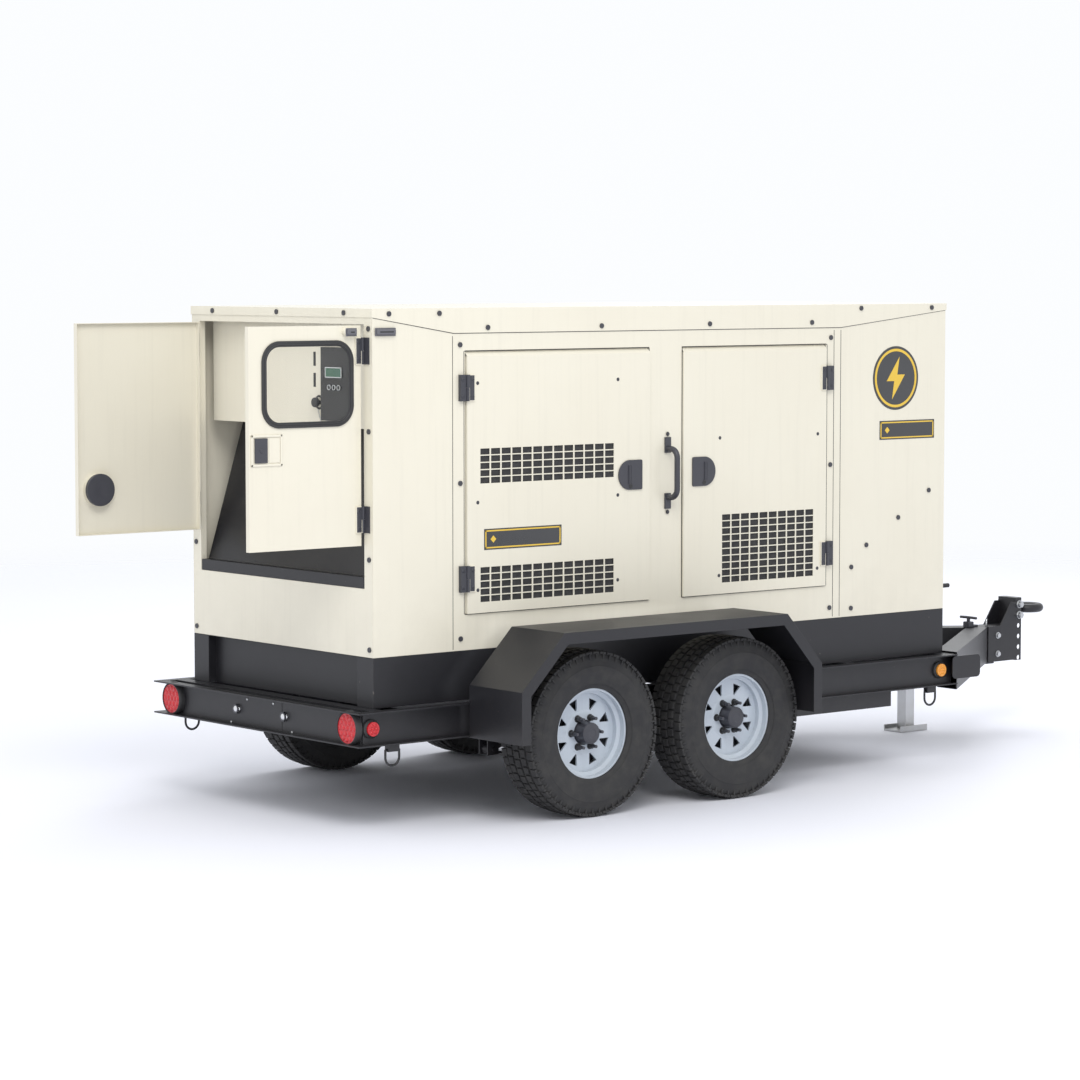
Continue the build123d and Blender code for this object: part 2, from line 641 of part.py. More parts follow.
LEAF_BEND = (SPRING_HALF**2 + LEAF_SAG**2) / (2 * LEAF_SAG)
for axle, reach in AXLES.items():
    inward = -1 if reach > 0 else 1
    with BuildPart() as springs:
        for s in SIDES.values():
            for k, leaf_half in enumerate(LEAVES):
                with BuildSketch(side_plane(s * SPRING_Y + SPRING_W / 2)) as leaf:
                    with Locations((at(reach), BEAM_Z - BEAM_R - 10 + LEAF_BEND)):
                        Circle(LEAF_BEND + (k + 1) * LEAF_T)
                        Circle(LEAF_BEND + k * LEAF_T, mode=Mode.SUBTRACT)
                    with Locations((at(reach), BEAM_Z - BEAM_R - 10 + 20)):
                        Rectangle(2 * leaf_half, 140, mode=Mode.INTERSECT)
                extrude(leaf.sketch, amount=SPRING_W)
            for x in (-SPRING_HALF, SPRING_HALF):
                eye = at(reach + x)
                rod((eye, s * SPRING_Y - SPRING_W / 2, BEAM_Z), (eye, s * SPRING_Y + SPRING_W / 2, BEAM_Z), EYE_R)
                rod(
                    (eye, s * SPRING_Y - SPRING_W, BEAM_Z),
                    (eye, s * SPRING_Y + SPRING_W, BEAM_Z),
                    EYE_PIN_R + RUNNING_GAP,
                    mode=Mode.SUBTRACT,
                )
            link_low = at(reach + inward * SPRING_HALF)
            link_high = at(-inward * EQUALIZER_ARM)
            for side in (-1, 1):
                link_y = s * SPRING_Y + side * (SPRING_W / 2 + 4)
                with BuildSketch(side_plane(link_y)) as link:
                    centre = ((link_low + link_high) / 2, (BEAM_Z + EQUALIZER_Z) / 2)
                    tilt = math.degrees(math.atan2(EQUALIZER_Z - BEAM_Z, link_high - link_low))
                    length = math.hypot(EQUALIZER_Z - BEAM_Z, link_high - link_low)
                    with Locations(Location((*centre, 0), (0, 0, tilt))):
                        SlotCenterToCenter(length, 34)
                extrude(link.sketch, amount=-side * 6)
            span = SPRING_W / 2 + 16
            for x, z in ((link_low, BEAM_Z), (link_high, EQUALIZER_Z)):
                rod((x, s * SPRING_Y - span, z), (x, s * SPRING_Y + span, z), EYE_PIN_R)
    save(springs, f"{axle}_springs")

    with BuildPart() as beam:
        wheel_in = TRACK_HALF - TYRE_HALF
        rod((at(reach), -wheel_in + 12, BEAM_Z), (at(reach), wheel_in - 12, BEAM_Z), BEAM_R)
        rod((at(reach), -wheel_in, BEAM_Z), (at(reach), wheel_in, BEAM_Z), BEAM_R - TUBE_T, mode=Mode.SUBTRACT)
        for s in SIDES.values():
            block(
                (at(reach) - BEAM_R, at(reach) + BEAM_R),
                (s * (wheel_in - 26), s * (wheel_in - 6)),
                (BEAM_Z - BEAM_R, TYRE_R + BEAM_R),
            )
            tip = s * (TRACK_HALF + 40)
            rod((at(reach), s * (wheel_in - 12), TYRE_R), (at(reach), tip, TYRE_R), SPINDLE_R)
            pack_low = BEAM_Z - BEAM_R - 10 - len(LEAVES) * LEAF_T
            for x, y in itertools.product((-30, 30), (-29, 29)):
                bolt = (at(reach) + x, s * SPRING_Y + y)
                rod((*bolt, pack_low - 16), (*bolt, BEAM_Z), 5)
            block(
                (at(reach) - 40, at(reach) + 40),
                (s * SPRING_Y - 36, s * SPRING_Y + 36),
                (pack_low - 10, pack_low - WELD_GAP),
            )
            seat = (BEAM_Z - BEAM_R - 9, BEAM_Z - BEAM_R + 4)
            block((at(reach) - 40, at(reach) + 40), (s * (SPRING_Y - 22), s * (SPRING_Y + 22)), seat)
    save(beam, f"{axle}_axle")

# ---------------------------------------------------------------- wheels
for axle, reach in AXLES.items():
    for side_name, s in SIDES.items():
        centre = (at(reach), s * TRACK_HALF, TYRE_R)
        outward = (0, s, 0)
        place = f"{axle}_{side_name}"
        with BuildPart() as tyre:
            half = TYRE_HALF
            bead = RIM_HALF - WELD_GAP
            carcass = [
                (-bead, RIM_SEAT_R + 1),
                (-bead, RIM_FLANGE_R + 2),
                (-half + 17, RIM_FLANGE_R + 8),
                (-half + 4, TYRE_R * 0.68),
                (-half, TYRE_R * 0.77),
                (-half + 5, TYRE_R * 0.88),
                (-half + 18, TYRE_R * 0.975),
                (-half + 34, TYRE_R),
                (half - 34, TYRE_R),
                (half - 18, TYRE_R * 0.975),
                (half - 5, TYRE_R * 0.88),
                (half, TYRE_R * 0.77),
                (half - 4, TYRE_R * 0.68),
                (half - 17, RIM_FLANGE_R + 8),
                (bead, RIM_FLANGE_R + 2),
                (bead, RIM_SEAT_R + 1),
                (bead - 15, RIM_SEAT_R + 1),
                (half - 16, TYRE_R * 0.77),
                (half - 34, TYRE_R - 16),
                (-half + 34, TYRE_R - 16),
                (-half + 16, TYRE_R * 0.77),
                (-bead + 15, RIM_SEAT_R + 1),
            ]
            turned(carcass, centre, outward)
        save(tyre, f"tyre_{place}")

        with BuildPart() as rim:
            w = RIM_HALF
            barrel = [
                (-w, RIM_SEAT_R),
                (-w, RIM_FLANGE_R),
                (-w - RIM_T, RIM_FLANGE_R),
                (-w - RIM_T, RIM_SEAT_R - RIM_T),
                (-0.2 * w, RIM_SEAT_R - RIM_T),
                (-0.1 * w, RIM_SEAT_R - 5 * RIM_T),
                (0.6 * w, RIM_SEAT_R - 5 * RIM_T),
                (0.7 * w, RIM_SEAT_R - RIM_T),
                (w + RIM_T, RIM_SEAT_R - RIM_T),
                (w + RIM_T, RIM_FLANGE_R),
                (w, RIM_FLANGE_R),
                (w, RIM_SEAT_R),
                (0.7 * w, RIM_SEAT_R),
                (0.6 * w, RIM_SEAT_R - 4 * RIM_T),
                (-0.1 * w, RIM_SEAT_R - 4 * RIM_T),
                (-0.2 * w, RIM_SEAT_R),
            ]
            turned(barrel, centre, outward)
            disc = [
                (DISC_OUT - 8, BORE_R),
                (DISC_OUT - 8, 90),
                (DISC_OUT - 12, 100),
                (DISC_OUT - 12, RIM_SEAT_R - 5 * RIM_T + 1),
                (DISC_OUT - 4, RIM_SEAT_R - 5 * RIM_T + 1),
                (DISC_OUT - 4, 98),
                (DISC_OUT, 88),
                (DISC_OUT, BORE_R),
            ]
            turned(disc, centre, outward)
            face_plane = Plane(origin=centre, x_dir=(1, 0, 0), z_dir=outward)
            with BuildSketch(face_plane) as windows:
                with PolarLocations(SPOKE_HOLE_R, SPOKE_HOLES, start_angle=22.5):
                    with Locations(Location((0, 0, 0), (0, 0, 90))):
                        Trapezoid(SPOKE_HOLE_W, SPOKE_HOLE_W, 67)
            extrude(windows.sketch, amount=60, mode=Mode.SUBTRACT)
            with BuildSketch(face_plane) as lug_holes:
                with PolarLocations(STUD_PCD_R, STUDS):
                    Circle(STUD_R + 1)
            extrude(lug_holes.sketch, amount=60, mode=Mode.SUBTRACT)

        with BuildPart() as hub:
            bore = SPINDLE_R + RUNNING_GAP
            body = [
                (-70, 60),
                (-70, 150),
                (-62, 156),
                (-14, 156),
                (-14, 88),
                (DISC_OUT - 8.1, 88),
                (DISC_OUT - 8.1, HUB_R),
                (HUB_END - 6, HUB_R - 4),
                (HUB_END, HUB_R - 14),
                (HUB_END, 0.1),
                (46, 0.1),
                (46, bore),
                (-64, bore),
                (-64, 60),
            ]
            turned(body, centre, outward)
            with BuildSketch(face_plane) as studs:
                with PolarLocations(STUD_PCD_R, STUDS):
                    Circle(STUD_R)
            extrude(studs.sketch, amount=HUB_END - 14)

        with BuildPart() as rim_and_hub:
            add(rim.part)
            add(hub.part)
        save(rim_and_hub, f"rim_{place}")

# ---------------------------------------------------------------- tie rings
for end, reach in zip(("rear", "front"), RING_X):
    for side_name, s in SIDES.items():
        with BuildPart() as ring:
            x = at(reach)
            y = s * RING_Y
            rod((x - RING_R, y, RING_Z), (x + RING_R, y, RING_Z), RING_BAR)
            with BuildSketch(Plane(origin=(x + RING_R, y, RING_Z), z_dir=(0, 0, -1))) as bar:
                Circle(RING_BAR)
            with BuildLine() as loop:
                right = (x + RING_R, y, RING_Z)
                low_right = (x + RING_R, y, RING_Z - RING_DROP)
                low_left = (x - RING_R, y, RING_Z - RING_DROP)
                left = (x - RING_R, y, RING_Z)
                Line(right, low_right)
                ThreePointArc(low_right, (x, y, RING_Z - RING_DROP - RING_R), low_left)
                Line(low_left, left)
            sweep(bar.sketch, path=loop.line)
        save(ring, f"tie_ring_{end}_{side_name}")

# ---------------------------------------------------------------- base tank
with BuildPart() as base_tank:
    block((BODY_BACK, BODY_FRONT), (-BODY_HALF, BODY_HALF), (RAIL_TOP, BODY_BOTTOM))
    block(
        (BODY_BACK, BODY_BACK + TANK_STEP),
        (-TANK_POST_Y, TANK_POST_Y),
        (RAIL_TOP, BODY_BOTTOM - SHEET),
        mode=Mode.SUBTRACT,
    )
    inner = BODY_HALF - TANK_WALL
    block(
        (BODY_BACK + TANK_STEP + TANK_WALL, BODY_FRONT - TANK_WALL),
        (-inner, inner),
        (RAIL_TOP + TANK_WALL, BODY_BOTTOM - TANK_WALL),
        mode=Mode.SUBTRACT,
    )
    filler = (BODY_BACK + TANK_FILLER_IN[0], -BODY_HALF + TANK_FILLER_IN[1])
    rod((*filler, BODY_BOTTOM - 20), (*filler, BODY_BOTTOM + 1), TANK_FILLER_R, mode=Mode.SUBTRACT)
save(base_tank, "base_tank")

# ---------------------------------------------------------------- enclosure sheets
OPENINGS = {key: (at(a) - DOOR_GAP, at(b) + DOOR_GAP) for key, (a, b) in DOOR_SPANS.items()}
OPEN_Z = (SIDE_DOOR_Z[0] - DOOR_GAP, SIDE_DOOR_Z[1] + DOOR_GAP)
for side_name, s in SIDES.items():
    with BuildPart() as side_frame:
        skin = (s * (BODY_HALF - SHEET), s * BODY_HALF)
        deep = (s * (BODY_HALF - RETURN_DEPTH), s * BODY_HALF)
        block((BODY_BACK, BODY_FRONT), skin, (BODY_BOTTOM, ROOF_TOP - SHEET - WELD_GAP))
        for span in OPENINGS.values():
            grown = (span[0] - SHEET, span[1] + SHEET)
            block(grown, deep, (OPEN_Z[0] - SHEET, OPEN_Z[1] + SHEET))
        for span in OPENINGS.values():
            block(span, (s * (BODY_HALF - 2 * RETURN_DEPTH), s * (BODY_HALF + 1)), OPEN_Z, mode=Mode.SUBTRACT)
    save(side_frame, f"side_frame_{side_name}")

INNER_HALF = BODY_HALF - SHEET - WELD_GAP
INNER_TOP = ROOF_TOP - SHEET - WELD_GAP
with BuildPart() as front_panel:
    block((BODY_FRONT - SHEET, BODY_FRONT), (-INNER_HALF, INNER_HALF), (BODY_BOTTOM, INNER_TOP))
    with BuildSketch(Plane.YZ.offset(BODY_FRONT - SHEET)) as outlet:
        with Locations((0, OUTLET_Z)):
            with GridLocations(*OUTLET_PITCH, *OUTLET_COUNT):
                Rectangle(*OUTLET_HOLE)
    extrude(outlet.sketch, amount=SHEET, mode=Mode.SUBTRACT)
save(front_panel, "front_panel")

with BuildPart() as rear_frame:
    block((BODY_BACK, BODY_BACK + SHEET), (-INNER_HALF, INNER_HALF), (BODY_BOTTOM, INNER_TOP))
    block(
        (BODY_BACK, BODY_BACK + RETURN_DEPTH),
        (-REAR_OPEN_HALF - SHEET, REAR_OPEN_HALF + SHEET),
        (REAR_OPEN_Z[0] - SHEET, REAR_OPEN_Z[1] + SHEET),
    )
    block(
        (BODY_BACK - 1, BODY_BACK + 2 * RETURN_DEPTH),
        (-REAR_OPEN_HALF, REAR_OPEN_HALF),
        REAR_OPEN_Z,
        mode=Mode.SUBTRACT,
    )
save(rear_frame, "rear_frame")

with BuildPart() as roof_cap:
    lap = BODY_HALF + SHEET_LAP + WELD_GAP
    cap_x = (BODY_BACK - SHEET_LAP - WELD_GAP, BODY_FRONT + SHEET_LAP + WELD_GAP)
    block(cap_x, (-lap, lap), (ROOF_TOP - SHEET, ROOF_TOP))
    block((cap_x[0], cap_x[0] + SHEET_LAP), (-lap, lap), (ROOF_TOP - CAP_CORNER_DROP, ROOF_TOP))
    block((cap_x[1] - SHEET_LAP, cap_x[1]), (-lap, lap), (ROOF_TOP - CAP_FRONT_DROP, ROOF_TOP))
    flange = [
        (cap_x[0], ROOF_TOP - SHEET),
        (cap_x[0], ROOF_TOP - CAP_CORNER_DROP),
        (at(CAP_LEVEL_BACK), ROOF_TOP - CAP_SIDE_DROP),
        (at(CAP_LEVEL_FRONT), ROOF_TOP - CAP_SIDE_DROP),
        (cap_x[1], ROOF_TOP - CAP_FRONT_DROP),
        (cap_x[1], ROOF_TOP - SHEET),
    ]
    for y in (-lap + SHEET_LAP, lap):
        prism(flange, side_plane(y), SHEET_LAP)
save(roof_cap, "roof_cap")

# ---------------------------------------------------------------- side doors
GRILLES = {
    "rear": [((-779.0, -22.0), (1428.0, 1582.0), 13, 5), ((-779.0, -22.0), (920.0, 1074.0), 13, 5)],
    "front": [((616.0, 1193.0), (924.0, 1238.0), 10, 10)],
}
DOOR_FACE = BODY_HALF + DOOR_PROUD
SIDE_HINGE_Y = DOOR_FACE + KNUCKLE_R
HINGE_EDGES = {
    "rear": (at(REAR_DOOR_SPAN[0]) - DOOR_GAP / 2, 1),
    "front": (at(FRONT_DOOR_SPAN[1]) + DOOR_GAP / 2, -1),
}


def latch_plate(centre, across, outward):
    """A D-shaped grip plate, flat towards -across, lying on a door and facing outward."""
    plane = Plane(origin=centre, x_dir=across, z_dir=outward)
    with BuildSketch(plane) as shape:
        Circle(LATCH_R)
        with Locations((-LATCH_FLAT / 2, 0)):
            RectangleRounded(LATCH_FLAT, 2 * LATCH_R, LATCH_CORNER)
    extrude(shape.sketch, amount=LATCH_T)
    with BuildSketch(plane.offset(LATCH_T - 2)) as grip:
        with Locations((LATCH_GRIP_OFF, 0)):
            Rectangle(*LATCH_GRIP)
    extrude(grip.sketch, amount=2, mode=Mode.SUBTRACT)
    with BuildSketch(plane.offset(LATCH_T - 2)) as ridge:
        with Locations((LATCH_GRIP_OFF, 0)):
            Rectangle(LATCH_RIDGE_W, LATCH_GRIP[1])
    extrude(ridge.sketch, amount=LATCH_RIDGE_RISE)


for side_name, s in SIDES.items():
    for key, (left, right) in DOOR_SPANS.items():
        x_span = (at(left), at(right))
        low, high = SIDE_DOOR_Z
        shoulder = high - DOOR_SLOPE
        face = s * DOOR_FACE
        inside = s * (DOOR_FACE - DOOR_DEPTH)
        hinge_x, into = HINGE_EDGES[key]
        with BuildPart() as door:
            block(x_span, (face - s * SHEET, face), (low, shoulder))
            slope = [
                (face, shoulder),
                (face - s * DOOR_SLOPE, high),
                (face - s * (DOOR_SLOPE + SHEET), high),
                (face - s * SHEET, shoulder),
            ]
            prism(slope, Plane.YZ.offset(x_span[0]), x_span[1] - x_span[0])
            for x in (x_span[0], x_span[1] - SHEET):
                block((x, x + SHEET), (inside, face), (low, shoulder))
            block(x_span, (inside, face), (low, low + SHEET))
            for (g0, g1), (h0, h1), across, up in GRILLES[key]:
                with BuildSketch(side_plane(0)) as mesh:
                    with Locations((at((g0 + g1) / 2), (h0 + h1) / 2)):
                        with GridLocations((g1 - g0) / across, (h1 - h0) / up, across, up):
                            Rectangle(GRILLE_OPEN_X * (g1 - g0) / across, GRILLE_OPEN_Z * (h1 - h0) / up)
                extrude(mesh.sketch, amount=-2 * s * DOOR_FACE, mode=Mode.SUBTRACT)
            for z in SIDE_HINGE_Z:
                leaf = (hinge_x + into * KNUCKLE_R, hinge_x + into * HINGE_W / 2)
                block(leaf, (face, face + s * HINGE_T), (z - HINGE_H / 2, z + HINGE_H / 2))
                block(
                    (hinge_x, leaf[0]),
                    (face + s * KNUCKLE_R / 2, face + s * HINGE_T),
                    (z + LEAF_CLEAR / 2, z + HINGE_H / 2),
                )
                rod(
                    (hinge_x, s * SIDE_HINGE_Y, z + LEAF_CLEAR / 2),
                    (hinge_x, s * SIDE_HINGE_Y, z + HINGE_H / 2),
                    KNUCKLE_R - LEAF_CLEAR,
                )
                rod(
                    (hinge_x, s * SIDE_HINGE_Y, z - HINGE_H),
                    (hinge_x, s * SIDE_HINGE_Y, z + HINGE_H),
                    PIN_R + RUNNING_GAP,
                    mode=Mode.SUBTRACT,
                )
        save(door, f"side_door_{key}_{side_name}")

        free_edge = x_span[1] if into > 0 else x_span[0]
        with BuildPart() as latch:
            latch_plate(
                (free_edge - into * LATCH_FROM_EDGE, face + s * WELD_GAP, LATCH_Z),
                (-into, 0, 0),
                (0, s, 0),
            )
        save(latch, f"latch_{key}_{side_name}")

# ---------------------------------------------------------------- rear doors, standing open at a right angle
REAR_AXIS_X = BODY_BACK - KNUCKLE_R
REAR_DOOR_EDGE = REAR_AXIS_X - KNUCKLE_R
REAR_WIDTHS = {"right": REAR_RIGHT_WIDTH, "left": REAR_LEFT_WIDTH}
REAR_FACE = REAR_HINGE_Y - 2
for side_name, s in SIDES.items():
    tip = REAR_DOOR_EDGE - REAR_WIDTHS[side_name]
    outer = s * REAR_FACE
    inside = s * (REAR_FACE - REAR_DOOR_THICK)
    with BuildPart() as rear_door:
        block((tip, REAR_DOOR_EDGE), (outer, inside), REAR_DOOR_Z)
        block(
            (tip + SHEET, REAR_DOOR_EDGE - SHEET),
            (outer - s * SHEET, inside),
            (REAR_DOOR_Z[0] + SHEET, REAR_DOOR_Z[1] - SHEET),
            mode=Mode.SUBTRACT,
        )
        for z in REAR_HINGE_Z:
            leaf = (REAR_AXIS_X - KNUCKLE_R, REAR_AXIS_X - HINGE_W / 2)
            block(leaf, (outer, outer + s * HINGE_T), (z - HINGE_H / 2, z + HINGE_H / 2))
            block(
                (REAR_AXIS_X, leaf[0]),
                (s * (REAR_HINGE_Y + 1), outer + s * HINGE_T),
                (z + LEAF_CLEAR / 2, z + HINGE_H / 2),
            )
            axis = (REAR_AXIS_X, s * REAR_HINGE_Y)
            rod((*axis, z + LEAF_CLEAR / 2), (*axis, z + HINGE_H / 2), KNUCKLE_R - LEAF_CLEAR)
            rod((*axis, z - HINGE_H), (*axis, z + HINGE_H), PIN_R + RUNNING_GAP, mode=Mode.SUBTRACT)
        bumper_x = REAR_AXIS_X - CATCH_FROM_HINGE
        with BuildSketch(side_plane(outer)) as bumper:
            with Locations((bumper_x, REAR_DOOR_Z[1] - CATCH_DROP)):
                SlotOverall(*CATCH)
        extrude(bumper.sketch, amount=-s * CATCH_RISE)
        if side_name == "right":
            window_x = (REAR_AXIS_X - sum(WINDOW_X) / 2, sum(WINDOW_Z) / 2)
            with BuildSketch(side_plane(0)) as pane_hole:
                with Locations(window_x):
                    RectangleRounded(
                        WINDOW_X[1] - WINDOW_X[0] - 2 * WINDOW_FRAME,
                        WINDOW_Z[1] - WINDOW_Z[0] - 2 * WINDOW_FRAME,
                        WINDOW_CORNER - WINDOW_FRAME,
                    )
            extrude(pane_hole.sketch, amount=2 * REAR_HINGE_Y, mode=Mode.SUBTRACT)
        else:
            cover = (tip + REAR_LATCH_FROM_TIP, inside + s * SHEET, REAR_LATCH_Z)
            rod((cover[0], outer - s, cover[2]), (cover[0], inside - s * COVER_RISE, cover[2]), COVER_R)
    save(rear_door, f"rear_door_{side_name}")

with BuildPart() as window_gasket:
    with BuildSketch(side_plane(-REAR_FACE)) as ring_face:
        with Locations(window_x):
            RectangleRounded(WINDOW_X[1] - WINDOW_X[0], WINDOW_Z[1] - WINDOW_Z[0], WINDOW_CORNER)
            RectangleRounded(
                WINDOW_X[1] - WINDOW_X[0] - 2 * (WINDOW_FRAME + GASKET_LIP),
                WINDOW_Z[1] - WINDOW_Z[0] - 2 * (WINDOW_FRAME + GASKET_LIP),
                WINDOW_CORNER - WINDOW_FRAME - GASKET_LIP,
                mode=Mode.SUBTRACT,
            )
    extrude(ring_face.sketch, amount=GASKET_T)
save(window_gasket, "window_gasket")

with BuildPart() as window_pane:
    with BuildSketch(side_plane(-REAR_FACE + PANE_IN)) as pane:
        with Locations(window_x):
            RectangleRounded(
                WINDOW_X[1] - WINDOW_X[0] - 2 * WINDOW_FRAME - 1,
                WINDOW_Z[1] - WINDOW_Z[0] - 2 * WINDOW_FRAME - 1,
                WINDOW_CORNER - WINDOW_FRAME,
            )
    extrude(pane.sketch, amount=PANE_T)
save(window_pane, "window_pane")

right_tip = REAR_DOOR_EDGE - REAR_RIGHT_WIDTH
PADDLE_X = (right_tip + PADDLE_FROM_TIP[0], right_tip + PADDLE_FROM_TIP[1])
with BuildPart() as latch_paddle:
    paddle_y = -REAR_FACE - WELD_GAP
    block(PADDLE_X, (paddle_y, paddle_y - PADDLE_T), PADDLE_Z)
    middle = (sum(PADDLE_X) / 2, paddle_y, sum(PADDLE_Z) / 2)
    rod(
        (middle[0], paddle_y - PADDLE_T, middle[2]),
        (middle[0], paddle_y - PADDLE_T - SHEET, middle[2]),
        PADDLE_LOCK_R,
    )
save(latch_paddle, "latch_paddle")

left_tip = REAR_DOOR_EDGE - REAR_LEFT_WIDTH
with BuildPart() as latch_rear_left:
    latch_plate((left_tip + REAR_LATCH_FROM_TIP, REAR_FACE + WELD_GAP, REAR_LATCH_Z), (1, 0, 0), (0, 1, 0))
save(latch_rear_left, "latch_rear_door")

# ---------------------------------------------------------------- fixed hinge leaves and pins
with BuildPart() as hinge_leaves:
    for s in SIDES.values():
        for key in DOOR_SPANS:
            hinge_x, into = HINGE_EDGES[key]
            for z in SIDE_HINGE_Z:
                leaf = (hinge_x - into * KNUCKLE_R, hinge_x - into * HINGE_W / 2)
                post = s * (BODY_HALF + WELD_GAP)
                block(leaf, (post, s * (DOOR_FACE + HINGE_T)), (z - HINGE_H / 2, z + HINGE_H / 2))
                block(
                    (hinge_x, leaf[0]),
                    (s * (DOOR_FACE + KNUCKLE_R / 2), s * (DOOR_FACE + HINGE_T)),
                    (z - HINGE_H / 2, z - LEAF_CLEAR / 2),
                )
                axis = (hinge_x, s * SIDE_HINGE_Y)
                rod((*axis, z - HINGE_H / 2), (*axis, z - LEAF_CLEAR / 2), KNUCKLE_R - LEAF_CLEAR)
                rod((*axis, z - HINGE_H / 2), (*axis, z + HINGE_H / 2), PIN_R)
        for z in REAR_HINGE_Z:
            axis = (REAR_AXIS_X, s * REAR_HINGE_Y)
            leaf_y = (s * (REAR_HINGE_Y + KNUCKLE_R), s * (REAR_HINGE_Y + HINGE_W / 2))
            leaf_x = (REAR_AXIS_X + KNUCKLE_R / 2, BODY_BACK - WELD_GAP)
            block(leaf_x, leaf_y, (z - HINGE_H / 2, z + HINGE_H / 2))
            block(leaf_x, (axis[1], leaf_y[0]), (z - HINGE_H / 2, z - LEAF_CLEAR / 2))
            rod((*axis, z - HINGE_H / 2), (*axis, z - LEAF_CLEAR / 2), KNUCKLE_R - LEAF_CLEAR)
            rod((*axis, z - HINGE_H / 2), (*axis, z + HINGE_H / 2), PIN_R)
save(hinge_leaves, "hinge_leaves")

# ---------------------------------------------------------------- grab handles
with BuildPart() as grab_handles:
    for s in SIDES.values():
        wall = s * (BODY_HALF + WELD_GAP)
        x = at(GRAB_X)
        for z in GRAB_Z:
            up = 1 if z == GRAB_Z[0] else -1
            block(
                (x - GRAB_FOOT[0], x + GRAB_FOOT[0]),
                (wall, wall + s * GRAB_FOOT[1]),
                (z, z + up * GRAB_FOOT[2]),
            )
        stand = wall + s * GRAB_STAND
        bend = GRAB_BEND
        foot_z = (GRAB_Z[0] + GRAB_FOOT_IN, GRAB_Z[1] - GRAB_FOOT_IN)
        with BuildLine() as bar_line:
            FilletPolyline(
                (x, wall, foot_z[0]), (x, stand, foot_z[0]), (x, stand, foot_z[1]), (x, wall, foot_z[1]), radius=bend
            )
        with BuildSketch(Plane(origin=(x, wall, foot_z[0]), z_dir=(0, s, 0))) as bar_face:
            Circle(GRAB_R)
        sweep(bar_face.sketch, path=bar_line.line)
save(grab_handles, "grab_handles")

# ---------------------------------------------------------------- screws
POST_SCREWS_X = {-878.0: (2023.0, 1435.0, 771.0), 1304.0: (2026.0, 1437.0, 770.0)}
FRONT_SCREWS = ((1957, 1292), (1753, 1171), (1543, 1051), (1445, 952), (1444, 759))
CAP_SCREWS = (
    (-1257, 22),
    (-991, 22),
    (-730, 84),
    (-93, 84),
    (545, 82),
    (1179, 82),
    (1496, 19),
    (1964, 19),
)
REAR_SCREWS_Z = (2095.0, 1667.0, 1131.0, 753.0)
REAR_CAP_SCREWS_Y = (500.0, 11.0, -477.0)
SCREW_R = 11.0
SCREW_RISE = 5.0
REAR_SCREW_Y = 645.0
REAR_CAP_SCREW_DROP = 19.0
DOME_R = 20.0
DOME_RISE = 14.0
SCREW_GAP = 0.1
with BuildPart() as panel_screws:
    for s in SIDES.values():
        skin = s * (BODY_HALF + 0.1)
        cap_skin = s * (BODY_HALF + SHEET_LAP + 0.6)
        flush = [(x, z) for x, heights in POST_SCREWS_X.items() for z in heights] + list(FRONT_SCREWS)
        for x, z in flush:
            rod((at(x), skin, z), (at(x), skin + s * SCREW_RISE, z), SCREW_R)
        for x, drop in CAP_SCREWS:
            z = ROOF_TOP - drop
            rod((at(x), cap_skin, z), (at(x), cap_skin + s * SCREW_RISE, z), SCREW_R)
        for z in REAR_SCREWS_Z:
            screw_y = s * REAR_SCREW_Y
            rod((BODY_BACK - SCREW_GAP, screw_y, z), (BODY_BACK - SCREW_RISE, screw_y, z), SCREW_R)
    for y in REAR_CAP_SCREWS_Y:
        cap_back = BODY_BACK - SHEET_LAP - 0.6
        cap_z = ROOF_TOP - REAR_CAP_SCREW_DROP
        rod((cap_back, y, cap_z), (cap_back - SCREW_RISE, y, cap_z), SCREW_R)
    for y in DOME_Y:
        rod((BUMPER - SCREW_GAP, y, LAMP_Z), (BUMPER - DOME_RISE, y, LAMP_Z), DOME_R)
save(panel_screws, "panel_screws")

# ---------------------------------------------------------------- lamps
with BuildPart() as red_lamps:
    for s in SIDES.values():
        rod((BUMPER - 0.1, s * LAMP_Y, LAMP_Z), (BUMPER - LAMP_T, s * LAMP_Y, LAMP_Z), LAMP_R)
        skin = s * (WEB_Y + 0.1)
        rod((at(MARKER_X[0]), skin, LAMP_Z), (at(MARKER_X[0]), skin + s * MARKER_T, LAMP_Z), MARKER_R)
save(red_lamps, "red_lamps")

with BuildPart() as amber_lamps:
    for s in SIDES.values():
        skin = s * (WEB_Y + 0.1)
        rod((at(MARKER_X[1]), skin, LAMP_Z), (at(MARKER_X[1]), skin + s * MARKER_T, LAMP_Z), MARKER_R)
save(amber_lamps, "amber_lamps")

# ---------------------------------------------------------------- rear bay
BAY_HALF = REAR_OPEN_HALF - DOOR_GAP
with BuildPart() as control_box:
    box_x = (at(CONTROL_X[0]), at(CONTROL_X[1]))
    block(box_x, (-BAY_HALF, BAY_HALF), (CONTROL_BOTTOM, REAR_OPEN_Z[1]))
    block(
        (box_x[0] + SHEET, box_x[1] + 1),
        (-BAY_HALF + SHEET, BAY_HALF - SHEET),
        (CONTROL_BOTTOM + SHEET, REAR_OPEN_Z[1] - SHEET),
        mode=Mode.SUBTRACT,
    )
    rod((box_x[0] - 1, STOP_Y, STOP_Z), (box_x[0] + SHEET + 1, STOP_Y, STOP_Z), STOP_HOLE_R, mode=Mode.SUBTRACT)
save(control_box, "control_box")

